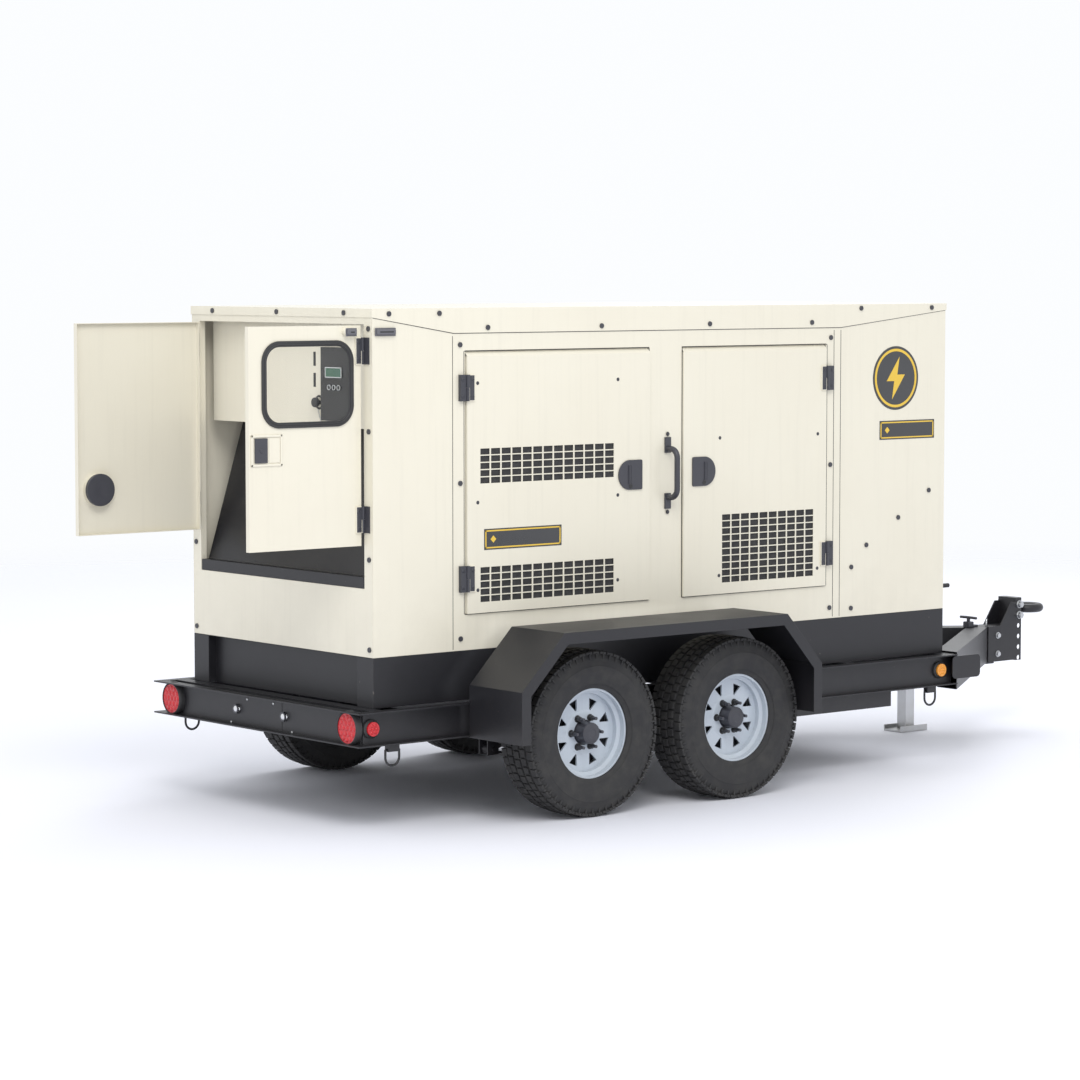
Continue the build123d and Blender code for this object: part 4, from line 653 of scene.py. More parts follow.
    @classmethod
    def join(cls, pieces: list[bpy.types.Object]) -> bpy.types.Object:
        """Joins pieces into the first one and returns it."""
        cls.pick(pieces[0])
        for piece in pieces:
            piece.select_set(True)
        bpy.ops.object.join()
        return bpy.context.object

    @classmethod
    def copy_node(cls, node: str, width: float = 0.0, segments: int = 2, merge: bool = True) -> bpy.types.Object:
        """Copies a CAD node's mesh, merges its triangles into faces and rounds its edges.

        Args:
            node: The CAD node.
            width: The bevel's width, or 0 for none.
            segments: The bevel's steps.
            merge: Whether coplanar triangles become one face.

        Returns:
            The copy, which nothing rides yet.
        """
        source = bpy.data.objects[node]
        made = cls.add(f"{node}_shell", source.data.copy())
        made.data.materials.clear()
        cls.pick(made)
        if made.data.has_custom_normals:
            bpy.ops.mesh.customdata_custom_splitnormals_clear()
        cls.edit(made)
        bpy.ops.mesh.remove_doubles(threshold=2e-5)
        if merge:
            bpy.ops.mesh.dissolve_limited(angle_limit=math.radians(0.5), delimit={"NORMAL"})
        bpy.ops.object.mode_set(mode="OBJECT")
        if width:
            cls.bevel(made, width, segments, 35.0)
        return made

    @classmethod
    def done(cls, piece: bpy.types.Object, name: str, finish: str, body: str,
             stands_for: tuple[str, ...] = (), smooth: float = 38.0) -> bpy.types.Object:
        """Names, paints, smooths and mounts a finished piece.

        Args:
            piece: The piece, with its place in its mesh.
            name: Its name.
            finish: Its finish.
            body: The CAD body that it rides on.
            stands_for: The CAD nodes that it replaces.
            smooth: Edges flatter than this are shaded smooth, in degrees.

        Returns:
            The piece.
        """
        piece.name = name
        piece.data.name = name
        cls.pick(piece)
        bpy.ops.object.shade_smooth_by_angle(angle=math.radians(smooth))
        even = piece.modifiers.new("even", "WEIGHTED_NORMAL")
        even.keep_sharp = True
        even.weight = 90
        bpy.ops.object.modifier_apply(modifier=even.name)
        piece.data.materials.clear()
        piece.data.materials.append(Paint.get(finish))
        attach(piece, body)
        if stands_for:
            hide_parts(*stands_for)
        LOG.info("%s on %s: %d faces", name, body, len(piece.data.polygons))
        return piece


def facing(where: Point, outward: Point, turn: float = 0.0) -> Matrix:
    """Returns the place of a small part that is modelled standing on Z = 0.

    Args:
        where: The point that its foot stands on.
        outward: The direction in which it stands out.
        turn: How far it is turned about that direction, in radians.

    Returns:
        Its transform.
    """
    stand = Vector(outward).to_track_quat("Z", "Y").to_matrix().to_4x4()
    return Matrix.Translation(where) @ stand @ Matrix.Rotation(turn, 4, "Z")


@dataclass
class Fasteners:
    """Screw and bolt heads, modelled once and copied to every place."""

    head_r: float = 0.0085
    rise: float = 0.0035
    recess: Span = (0.55, 0.09)
    recess_z: Span = (0.9, 1.12)

    def screw(self) -> bpy.types.Object:
        """Models a domed screw head with a cross recess and returns it."""
        r, h = self.head_r, self.rise
        head = Shop.lathe([(0, 0), (0, r), (0.3 * h, r), (0.75 * h, 0.75 * r), (h, 0.4 * r), (h, 0)], steps=16)
        long, thin = ((-share * r, share * r) for share in self.recess)
        level = (h * self.recess_z[0], h * self.recess_z[1])
        cross = [Shop.block(long, thin, level, 0.0), Shop.block(thin, long, level, 0.0)]
        return Shop.join([head, *cross])

    def nut(self, radius: float, height: float) -> bpy.types.Object:
        """Models a chamfered hexagon head on a washer.

        Args:
            radius: The hexagon's radius over its corners.
            height: Its height.

        Returns:
            The head.
        """
        bpy.ops.mesh.primitive_cylinder_add(vertices=6, radius=radius, depth=height, location=(0, 0, height / 2))
        body = bpy.context.object
        Shop.pick(body)
        bpy.ops.object.transform_apply(location=True, rotation=True, scale=True)
        Shop.bevel(body, 0.12 * radius)
        washer = Shop.lathe([(0, 0), (0, 1.3 * radius), (0.15 * height, 1.25 * radius), (0.15 * height, 0)], steps=24)
        return Shop.join([body, washer])


# ---------------------------------------------------------------- sub-assemblies
@dataclass
class Chassis:
    """The painted frame, drawbar, fenders, springs and jack."""

    plate_round: float = 0.0022
    rounded: tuple[str, ...] = ("trailer_frame", "drawbar", "coupler_channel", "base_tank", "fenders",
                                "jack_sleeve", "spring_hangers", "cable_baffle")
    tube_top: float = 0.517
    post_reach: Span = (2.925, 2.965)
    stem: Profile = ((0, 0), (0, 0.009), (0.052, 0.009), (0.056, 0.006), (0.056, 0))
    lever_reach: float = 2.945
    lever_half: float = 0.055
    brace_reach: Span = (2.968, 3.0)
    tab_reach: Span = (3.031, 3.09)
    tab_z: Span = (0.325, 0.335)
    chain_loop: tuple[Point, ...] = (
        (3.045, -0.03, 0), (3.04, -0.034, 0.02), (3.06, -0.02, 0.034), (3.085, 0.0, 0.03), (3.085, 0.01, 0))
    nose_bolt: Span = (0.013, 0.011)
    nose_bolt_reach: float = 3.10
    nose_bolt_y: float = 0.0612
    nose_bolts_z: Span = (0.375, 0.47)
    cap_half: float = 0.040
    cap_rise: float = 0.010
    collar_z: Span = (0.548, 0.556)
    collar_lap: float = 0.001

    def build(self) -> None:
        """Rounds the frame's plates and adds the nose's small fittings."""
        for node in self.rounded:
            shell = Shop.copy_node(node, self.plate_round, merge=node != "base_tank")
            Shop.done(shell, f"{node}_painted", "frame_black", "chassis", (node,))
        self._nose()
        self._sleeve_trim()

    def _nose(self) -> None:
        """Models the parking lever, the chain loop and the bolts on the drawbar's nose."""
        top = self.tube_top
        half, x = self.lever_half, at(self.lever_reach)
        post = Shop.block(tuple(map(at, self.post_reach)), (-0.02, 0.02), (top, top + 0.030), 0.004)
        stem = Shop.lathe(self.stem, (x, 0, top), steps=20)
        bar = Shop.wire([(x, -half, top + 0.05), (x, 0, top + 0.052), (x, half, top + 0.05)], 0.007)
        brace = Shop.block(tuple(map(at, self.brace_reach)), (-0.016, 0.016), (top, top + 0.012), 0.003)
        tab = Shop.block(tuple(map(at, self.tab_reach)), (-0.045, 0.045), self.tab_z, 0.003)
        Shop.done(Shop.join([post, stem, bar, brace, tab]), "nose_lever", "black_hardware", "chassis")
        loop = Shop.wire([(at(x), y, top + z) for x, y, z in self.chain_loop], 0.004)
        low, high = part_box("coupler_bolts")
        heads = Shop.repeat(Fasteners().nut(*self.nose_bolt), [
            facing((at(self.nose_bolt_reach), s * self.nose_bolt_y, z), (0, s, 0))
            for s in SIDES.values() for z in self.nose_bolts_z])
        LOG.info("coupler bolts from %.3f to %.3f", low.z, high.z)
        Shop.done(Shop.join([loop, heads]), "nose_bolts", "zinc_plate", "chassis")

    def _sleeve_trim(self) -> None:
        """Adds the jack's cap and a collar of four bars round its leg."""
        low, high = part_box("jack_sleeve")
        x = (low.x + high.x) / 2
        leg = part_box("jack_leg")
        y = (leg[0].y + leg[1].y) / 2
        half = self.cap_half
        cap = Shop.block((x - half, x + half), (y - half, y + half), (high.z, high.z + self.cap_rise), 0.004)
        inner = (high.x - low.x) / 2 - self.collar_lap
        collar = [Shop.block((x + a * inner, x + a * half), (y - half, y + half), self.collar_z, 0.001)
                  for a in SIDES.values()]
        collar += [Shop.block((x - half, x + half), (y + a * inner, y + a * half), self.collar_z, 0.001)
                   for a in SIDES.values()]
        Shop.done(Shop.join([cap, *collar]), "jack_cap", "frame_black", "chassis")


@dataclass
class Bodywork:
    """The cream sheet-metal enclosure with its doors, foam, seams and screws."""

    sheet_round: float = 0.0012
    skin_y: float = 0.670
    door_y: float = 0.680
    seam_reach: tuple[float, ...] = (-0.9176, 1.3255, 1.3694)
    seam_z: Span = (0.727, 2.060)
    seam_half: float = 0.0014
    seam_rise: float = 0.0008
    gap_rise: float = 0.0006
    seam_width: float = 0.003
    # half width and drop of the painted shade line under the roof cap's edge
    cap_shade_half: float = 0.0015
    cap_edge: tuple[Span, ...] = ((-1.338, 2.142), (-0.913, 2.073), (1.368, 2.073), (2.060, 2.148))
    door_screws: dict[str, tuple[Span, ...]] = field(default_factory=lambda: {
        "rear": tuple((x, z) for x in (-0.790, -0.003) for z in (1.859, 1.350, 0.975)),
        "front": ((0.604, 1.583), (1.215, 1.583), (1.216, 0.960), (0.601, 0.960)),
    })
    grilles: dict[str, tuple[tuple[Span, Span], ...]] = field(default_factory=lambda: {
        "rear": (((-0.790, -0.010), (1.418, 1.592)), ((-0.790, -0.010), (0.910, 1.084))),
        "front": (((0.605, 1.204), (0.914, 1.248)),),
    })

    def build(self) -> None:
        """Rounds every sheet and adds what is fixed to it."""
        fixed = ("side_frame_right", "side_frame_left", "front_panel", "rear_frame", "roof_cap", "control_box")
        shells = dict.fromkeys(fixed, "chassis")
        shells |= {"rear_door_right": "right_rear_door", "rear_door_left": "left_rear_door"}
        for side in SIDES:
            for key in self.door_screws:
                shells[f"side_door_{key}_{side}"] = f"{key}_{side}_side_door"
        for node, body in shells.items():
            shell = Shop.copy_node(node, self.sheet_round)
            Shop.done(shell, f"{node}_sheet", "panel_cream", body, (node,), 30.0)
        self._seams()
        self._cap_line()
        for side, s in SIDES.items():
            for key in self.door_screws:
                self._door(key, side, s)
        self._front_foam()

    def _seams(self) -> None:
        """Draws the sealed joints between the fixed side panels and the gaps round the side doors."""
        strips = [
            Shop.block((at(x) - self.seam_half, at(x) + self.seam_half),
                       (s * self.skin_y, s * (self.skin_y + self.seam_rise)), self.seam_z, 0.0003)
            for x in self.seam_reach for s in SIDES.values()
        ]
        for side, s in SIDES.items():
            for key in self.door_screws:
                low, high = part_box(f"side_door_{key}_{side}")
                width, skin = self.seam_width, (s * self.skin_y, s * (self.skin_y + self.gap_rise))
                for x in (low.x - width, high.x):
                    strips.append(Shop.block((x, x + width), skin, (low.z, high.z), 0.0))
                for z in (low.z - width, high.z):
                    strips.append(Shop.block((low.x, high.x), skin, (z, z + width), 0.0))
        Shop.done(Shop.join(strips), "panel_seams", "gasket_rubber", "chassis")

    def _cap_line(self) -> None:
        """Draws a dark line of painted shade on the side skin under the roof cap's lower edge."""
        lines = []
        for s in SIDES.values():
            y = s * (self.skin_y + self.seam_rise)
            run = [(at(x), y, z - self.cap_shade_half) for x, z in self.cap_edge for _ in range(2)]
            lines.append(Shop.wire(run, self.cap_shade_half))
        # painted shade under the cap's overhanging edge
        Shop.done(Shop.join(lines), "roof_edge_shade", "gasket_rubber", "chassis")

    def _door(self, key: str, side: str, s: int) -> None:
        """Adds a side door's screws and the sound foam behind its grilles.

        Args:
            key: Which door, rear or front.
            side: Which side of the machine.
            s: That side's sign along Y.
        """
        body = f"{key}_{side}_side_door"
        low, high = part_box(f"side_door_{key}_{side}")
        places = [facing((at(x), s * self.door_y, z), (0, s, 0), 0.4 * k)
                  for k, (x, z) in enumerate(self.door_screws[key])]
        screws = Shop.repeat(Fasteners(0.008, 0.003).screw(), places)
        Shop.done(screws, f"{key}_{side}_door_screws", "black_hardware", body)
        pads = []
        for x, z in self.grilles[key]:
            inner = s * (self.door_y - 0.005)
            pad = Shop.block((at(x[0]), at(x[1])), (inner - s * 0.018, inner), z, 0.004)
            Shop.edit(pad)
            bpy.ops.mesh.subdivide(number_cuts=6)
            bpy.ops.object.mode_set(mode="OBJECT")
            pads.append(pad)
        LOG.info("door %s spans %.3f to %.3f", body, low.x, high.x)
        Shop.done(Shop.join(pads), f"{key}_{side}_door_foam", "foam", body)

    def _front_foam(self) -> None:
        """Adds the foam behind the front panel's outlet."""
        low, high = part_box("front_panel")
        pad = Shop.block((high.x - 0.034, high.x - 0.016), (-0.52, 0.52), (low.z + 0.12, high.z - 0.12), 0.005)
        Shop.done(pad, "front_foam", "foam", "chassis")


@dataclass
class Hardware:
    """Hinges, latches, grab handles and their screws."""

    leaf_face: float = 0.687
    leaf_skin: float = 0.0004
    leaf_screw: Span = (0.027, 0.036)
    side_hinges_z: Span = (1.026, 1.840)
    rear_hinges_z: Span = (1.299, 2.003)
    hinge_reach: dict[str, tuple[float, int]] = field(
        default_factory=lambda: {"rear": (-0.848, 1), "front": (1.273, -1)})
    leaf_root: float = 0.680
    rear_leaf_root: float = 0.6108
    leaf_span: Span = (0.008, 0.0385)
    leaf_half: float = 0.056
    knuckle_r: float = 0.0083
    key: Profile = ((0, 0), (0, 0.011), (0.004, 0.0105), (0.005, 0.008), (0.004, 0.0075), (0.004, 0))
    key_back: float = 0.0055
    key_drop: float = 0.050
    slit_half: Span = (0.001, 0.005)
    slit_rise: Span = (0.0035, 0.0047)
    grab_reach: float = 0.295
    grab_y: float = 0.6745
    grab_bolts_z: Span = (1.262, 1.610)
    rear_leaf_y: float = 0.618
    rear_axis: Span = (-1.348, 0.613)

    def build(self) -> None:
        """Dresses the hinges, the latches and the handles."""
        for node in ("hinge_leaves", "grab_handles"):
            Shop.done(Shop.copy_node(node, 0.0018), f"{node}_moulded", "black_hardware", "chassis", (node,))
        off, up_by = self.leaf_screw
        fixed = []
        for side, s in SIDES.items():
            for key, (reach, into) in self.hinge_reach.items():
                x = at(reach)
                spots = [(z + up * up_by) for z in self.side_hinges_z for up in (-1, 1)]
                moving = [facing((x + into * off, s * self.leaf_face, z), (0, s, 0)) for z in spots]
                fixed += [facing((x - into * off, s * self.leaf_face, z), (0, s, 0)) for z in spots]
                door = f"{key}_{side}_side_door"
                leaves = [self._leaf(x, into, s * self.leaf_root, s * self.leaf_face, z, s)
                          for z in self.side_hinges_z]
                self._pads(moving, door, f"{key}_{side}_hinge_screws", leaves)
                self._latch(f"latch_{key}_{side}", f"{key}_{side}_latch", (0, s, 0))
            x = at(self.rear_axis[0])
            moving = [facing((x - off, s * self.rear_leaf_y, z + up * up_by), (0, s, 0))
                      for z in self.rear_hinges_z for up in (-1, 1)]
            leaves = [self._leaf(x, -1, s * self.rear_leaf_root, s * self.rear_leaf_y, z, s)
                      for z in self.rear_hinges_z]
            self._pads(moving, f"{side}_rear_door", f"{side}_rear_hinge_screws", leaves)
        Shop.done(Shop.repeat(Fasteners().screw(), fixed), "fixed_hinge_screws", "black_hardware", "chassis")
        self._latch("latch_rear_door", "left_rear_door_latch", (0, 1, 0))
        self._paddle()
        self._grab_bolts()

    def _leaf(self, x: float, into: int, root: float, face: float, z: float, s: int) -> bpy.types.Object:
        """Models the black moulded cover of a door's hinge half.

        Args:
            x: The hinge's axis along X.
            into: The way from the axis to the door.
            root: The skin that the leaf lies on.
            face: The leaf's outer face.
            z: The hinge's middle height.
            s: The side's sign along Y.

        Returns:
            The leaf's plate, its tab and its half of the knuckle.
        """
        proud = face + s * self.leaf_skin
        axis_y = face + s * 0.001 if abs(face) > self.rear_leaf_y else s * self.rear_axis[1]
        near, far = self.leaf_span
        plate = Shop.block((x + into * near, x + into * far), (root, proud),
                           (z - self.leaf_half, z + self.leaf_half), 0.004)
        half = (z + 0.0005, z + self.leaf_half)
        tab = Shop.block((x, x + into * 0.012), (face - s * 0.003, proud), half, 0.0)
        tall, r = half[1] - half[0], self.knuckle_r
        knuckle = Shop.lathe([(0, 0), (0, r), (tall, r), (tall, 0)], (x, axis_y, half[0]), steps=28)
        return Shop.join([plate, tab, knuckle])

    def _pads(self, places: list[Matrix], body: str, name: str, leaves: list[bpy.types.Object]) -> None:
        """Joins a door's hinge leaves and their screws into one black piece.

        Args:
            places: Where the screws go.
            body: The door's body.
            name: The piece's name.
            leaves: The leaves' covers.
        """
        screws = Shop.repeat(Fasteners().screw(), places)
        Shop.done(Shop.join([screws, *leaves]), name, "black_hardware", body)

    def _latch(self, node: str, body: str, outward: Point) -> None:
        """Rounds a latch plate and adds its key cylinder.

        Args:
            node: The CAD latch.
            body: Its body.
            outward: The direction that it faces.
        """
        Shop.done(Shop.copy_node(node, 0.0016, 3), f"{node}_moulded", "black_hardware", body, (node,))
        low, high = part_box(node)
        out = outward[1]
        face = max(abs(low.y), abs(high.y)) * out
        x, y, z = (low.x + high.x) / 2, face - out * self.key_back, (low.z + high.z) / 2 - self.key_drop
        key = Shop.lathe(self.key, (x, y, z), outward, 24)
        across, tall = self.slit_half
        near, far = (y + out * rise for rise in self.slit_rise)
        slit = Shop.block((x - across, x + across), (near, far), (z - tall, z + tall), 0.0)
        Shop.done(Shop.join([key, slit]), f"{node}_key", "black_plastic", body)

    def _paddle(self) -> None:
        """Dresses the paddle latch and its recessed frame on the right rear door."""
        Shop.done(Shop.copy_node("latch_paddle", 0.002, 3), "latch_paddle_moulded", "black_hardware",
                  "right_rear_door_latch", ("latch_paddle",))
        low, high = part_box("latch_paddle")
        y = high.y
        frame = []
        x0, x1, z0, z1 = low.x - 0.018, high.x + 0.076, low.z - 0.014, high.z + 0.014
        for span_x, span_z in (((x0, x1), (z0, z0 + 0.010)), ((x0, x1), (z1 - 0.010, z1)),
                               ((x0, x0 + 0.010), (z0, z1)), ((x1 - 0.010, x1), (z0, z1))):
            frame.append(Shop.block(span_x, (y - 0.004, y + 0.0004), span_z, 0.002))
        frame.append(Shop.block((high.x + 0.010, x1 - 0.012), (y - 0.0016, y + 0.0004),
                                (z0 + 0.014, z1 - 0.014), 0.0006))
        Shop.done(Shop.join(frame), "paddle_frame", "panel_cream", "right_rear_door")

    def _grab_bolts(self) -> None:
        """Puts a bolt in each foot of the grab handles."""
        places = [facing((at(self.grab_reach), s * self.grab_y, z), (0, s, 0))
                  for s in SIDES.values() for z in self.grab_bolts_z]
        Shop.done(Shop.repeat(Fasteners().nut(0.0075, 0.005), places), "grab_bolts", "black_hardware", "chassis")


@dataclass
class Wheel:
    """A wheel: tyre with tread, painted disc rim, hub cap and nuts."""

    tyre_r: float = 0.3595
    half: float = 0.1115
    seat_r: float = 0.192
    pitches: int = 56
    tread_depth: float = 0.009
    bolt_zone: float = 0.09
    rows: tuple[Span, ...] = ((-0.083, 0.034), (-0.042, 0.030), (0.0, 0.034), (0.042, 0.030), (0.083, 0.034))
    shoulder_y: float = 0.08
    shoulder_drop: float = 0.0045
    block_share: Span = (0.86, 0.80)
    block_root: float = 0.004
    block_slant: float = 0.35
    cap: Profile = ((0, 0), (0, 0.044), (0.004, 0.044), (0.010, 0.036), (0.011, 0.02), (0.008, 0.018), (0.008, 0))
    cap_reach: float = 0.086
    cap_back: float = 0.010
    stud_r: float = 0.06985
    studs: int = 6

    def build(self) -> None:
        """Models the tyre once and puts one on each wheel body, with its rim and hub."""
        tyre = self._tyre()
        for axle in ("front", "rear"):
            for side, s in SIDES.items():
                low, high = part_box(f"tyre_{axle}_{side}")
                centre = (low + high) / 2
                own = tyre.copy()
                own.data = tyre.data.copy()
                bpy.context.scene.collection.objects.link(own)
                spun = Matrix.Rotation(0.05 + 0.031 * (s + 2) * (1 if axle == "front" else 3), 4, "Y")
                own.data.transform(Matrix.Translation(centre) @ spun)
                body = f"{axle}_{side}_wheel"
                Shop.done(own, f"tyre_{axle}_{side}_treaded", "tyre_rubber", body, (f"tyre_{axle}_{side}",))
                self._rim(axle, side, s)
        bpy.data.objects.remove(tyre)

    def _tyre(self) -> bpy.types.Object:
        """Models the carcass and its tread blocks about the Y axis and returns the tyre."""
        r, w, base = self.tyre_r, self.half, self.tyre_r - self.tread_depth
        side = [(0.070, self.seat_r), (0.088, self.seat_r + 0.004), (0.093, 0.212), (0.097, 0.217), (0.099, 0.216),
                (0.102, 0.228), (w - 0.004, 0.252), (w - 0.001, 0.258), (w, 0.272), (w - 0.002, 0.288),
                (w - 0.001, 0.292), (w - 0.005, 0.297), (w - 0.009, 0.318), (w - 0.014, 0.334), (0.088, base - 0.002)]
        crown = [(0.064, base), (0.020, base + 0.001), (-0.020, base + 0.001), (-0.064, base)]
        seat = [(-0.05, self.seat_r + 0.01), (0.05, self.seat_r + 0.01)]
        outline = side + crown + [(-a, b) for a, b in reversed(side)] + seat
        carcass = Shop.lathe(outline, axis=(0, 1, 0), steps=112)
        step = math.tau / self.pitches
        rows = []
        for k, (y, width) in enumerate(self.rows):
            shoulder = abs(y) > self.shoulder_y
            long = self.block_share[0 if shoulder else 1] * step * r
            drop = self.shoulder_drop if shoulder else 0.0
            tall = self.tread_depth + self.block_root
            block = Shop.block((-long / 2, long / 2), (y - width / 2, y + width / 2),
                               (r - tall - drop, r - drop), 0.0018, 1)
            Shop.edit(block)
            slant = self.block_slant if k % 2 else -self.block_slant
            bpy.ops.mesh.bisect(plane_co=(0, y, r), plane_no=(1, slant, 0))
            bpy.ops.object.mode_set(mode="OBJECT")
            turns = [Matrix.Rotation(step * (n + 0.25 * (k % 2)), 4, "Y") for n in range(self.pitches)]
            rows.append(Shop.repeat(block, turns))
        notches = []
        for s in (-1, 1):
            rib = Shop.block((-0.004, 0.004), (s * 0.094, s * 0.1035), (0.322, 0.346), 0.0014, 1)
            notches.append(Shop.repeat(rib, [Matrix.Rotation(step * n, 4, "Y") for n in range(self.pitches)]))
        return Shop.join([carcass, *rows, *notches])

    def _rim(self, axle: str, side: str, s: int) -> None:
        """Splits a CAD rim into its painted disc and its black hub, and adds the wheel nuts.

        Args:
            axle: Front or rear.
            side: Which side of the machine.
            s: That side's sign along Y.
        """
        node = f"rim_{axle}_{side}"
        body = f"{axle}_{side}_wheel"
        low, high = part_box(f"tyre_{axle}_{side}")
        centre = (low + high) / 2
        whole = Shop.copy_node(node, 0.0014)
        Shop.edit(whole)
        bpy.ops.mesh.separate(type="LOOSE")
        bpy.ops.object.mode_set(mode="OBJECT")
        parts = sorted(bpy.context.selected_objects, key=lambda o: -max(o.dimensions))
        Shop.done(parts[0], f"{node}_disc", "rim_paint", body, (node,))
        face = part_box(node)[1].y if s > 0 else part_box(node)[0].y
        cap_y = min(abs(face), abs(centre.y) + self.cap_reach)
        cap = Shop.lathe(self.cap, (centre.x, s * (cap_y - self.cap_back), centre.z), (0, s, 0), 40)
        flat = [abs(v.co.y) for v in parts[0].data.vertices
                if math.hypot(v.co.x - centre.x, v.co.z - centre.z) < self.bolt_zone]
        disc_y = max(flat)
        r = self.stud_r
        nuts = Shop.repeat(Fasteners().nut(0.0125, 0.020), [
            facing((centre.x + r * math.cos(a), s * disc_y, centre.z + r * math.sin(a)), (0, s, 0), a)
            for a in (math.tau * k / self.studs for k in range(self.studs))])
        hub = Shop.join([*parts[1:], cap]) if parts[1:] else cap
        Shop.done(hub, f"{node}_hub", "black_hardware", body)
        Shop.done(nuts, f"{node}_nuts", "black_plastic", body)


@dataclass
class Lamps:
    """Tail lamps and side markers: lenses with raised beads in black rubber grommets."""

    lamp_r: float = 0.064
    bead_r: float = 0.011
    marker_r: float = 0.030
    marker_bead_r: float = 0.007
    marker_ring: float = 0.0165
    marker_skin: float = 0.7292
    lamp_y: float = 0.660
    lamp_z: float = 0.435
    bead_rings: tuple[tuple[float, int], ...] = ((0.0, 1), (0.026, 6), (0.048, 12))
    bumper_back: float = 0.0238
    domes_y: Span = (0.175, -0.18)
    bumper_screws: tuple[Span, ...] = ((0.1025, 0.483), (-0.0935, 0.483), (0.225, 0.371), (-0.231, 0.372))

    def build(self) -> None:
        """Adds the grommets, the raised beads and the bumper's bright domes."""
        face_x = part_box("red_lamps")[0].x
        beads, grommets = [], []
        for s in SIDES.values():
            for radius, count in self.bead_rings:
                for k in range(count):
                    a = math.tau * k / count
                    y, z = s * self.lamp_y + radius * math.cos(a), self.lamp_z + radius * math.sin(a)
                    beads.append(facing((face_x, y, z), (-1, 0, 0)))
            grommets.append(facing((face_x + 0.024, s * self.lamp_y, self.lamp_z), (-1, 0, 0)))
        r = self.bead_r
        bead = Shop.lathe([(-0.001, 0), (-0.001, r), (0.001, 0.95 * r), (0.003, 0.6 * r), (0.0038, 0)], steps=16)
        Shop.done(Shop.repeat(bead, beads), "tail_lamp_beads", "red_lens", "chassis", smooth=60.0)
        ring = Shop.lathe(self._ring(self.lamp_r, 0.012, 0.027), steps=56)
        Shop.done(Shop.repeat(ring, grommets), "tail_lamp_grommets", "gasket_rubber", "chassis")
        self._markers()
        dome = Shop.lathe([(0, 0), (0, 0.022), (0.004, 0.022), (0.012, 0.017), (0.017, 0.009), (0.018, 0)], steps=32)
        skin_x = face_x + self.bumper_back
        places = [facing((skin_x, y, self.lamp_z), (-1, 0, 0)) for y in self.domes_y]
        Shop.done(Shop.repeat(dome, places), "bumper_domes", "chrome", "chassis", smooth=60.0)
        screws = [facing((skin_x, y, z), (-1, 0, 0), y) for y, z in self.bumper_screws]
        Shop.done(Shop.repeat(Fasteners(0.006, 0.003).screw(), screws), "bumper_screws", "zinc_plate", "chassis")
        slot = Shop.block((face_x + 0.0228, face_x + 0.0242), (-0.1592, -0.1568), (0.363, 0.505), 0.0004)
        Shop.done(slot, "bumper_slot", "gasket_rubber", "chassis")

    @staticmethod
    def _ring(inner: float, width: float, height: float) -> list[Span]:
        """Returns the closed outline of a rounded grommet.

        Args:
            inner: Its inner radius.
            width: Its width.
            height: How far it stands out.

        Returns:
            The (along, radius) points.
        """
        return [(0, inner), (height, inner), (height + 0.001, inner + 0.2 * width),
                (height - 0.002, inner + 0.6 * width), (0.6 * height, inner + 0.95 * width), (0, inner + width)]

    def _markers(self) -> None:
        """Adds a thick grommet and a ring of beads to every side marker."""
        r = self.marker_bead_r
        spokes = [(0.0, 0.0)] + [(self.marker_ring * math.cos(a), self.marker_ring * math.sin(a))
                                 for a in (math.tau * n / 6 for n in range(6))]
        for node, reach, finish in (("red_lamps", -1.401, "red_lens"), ("amber_lamps", 1.975, "amber_lens")):
            outer = max(abs(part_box(node)[0].y), abs(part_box(node)[1].y))
            ring = Shop.lathe(self._ring(self.marker_r, 0.011, 0.014), steps=40)
            places = [facing((at(reach), s * self.marker_skin, self.lamp_z), (0, s, 0)) for s in SIDES.values()]
            Shop.done(Shop.repeat(ring, places), f"{finish}_marker_grommets", "gasket_rubber", "chassis")
            bead = Shop.lathe([(-0.001, 0), (-0.001, r), (0.001, 0.9 * r), (0.0026, 0.5 * r), (0.003, 0)], steps=14)
            spots = [facing((at(reach) + x, s * outer, self.lamp_z + z), (0, s, 0))
                     for s in SIDES.values() for x, z in spokes]
            Shop.done(Shop.repeat(bead, spots), f"{finish}_marker_beads", finish, "chassis", smooth=60.0)


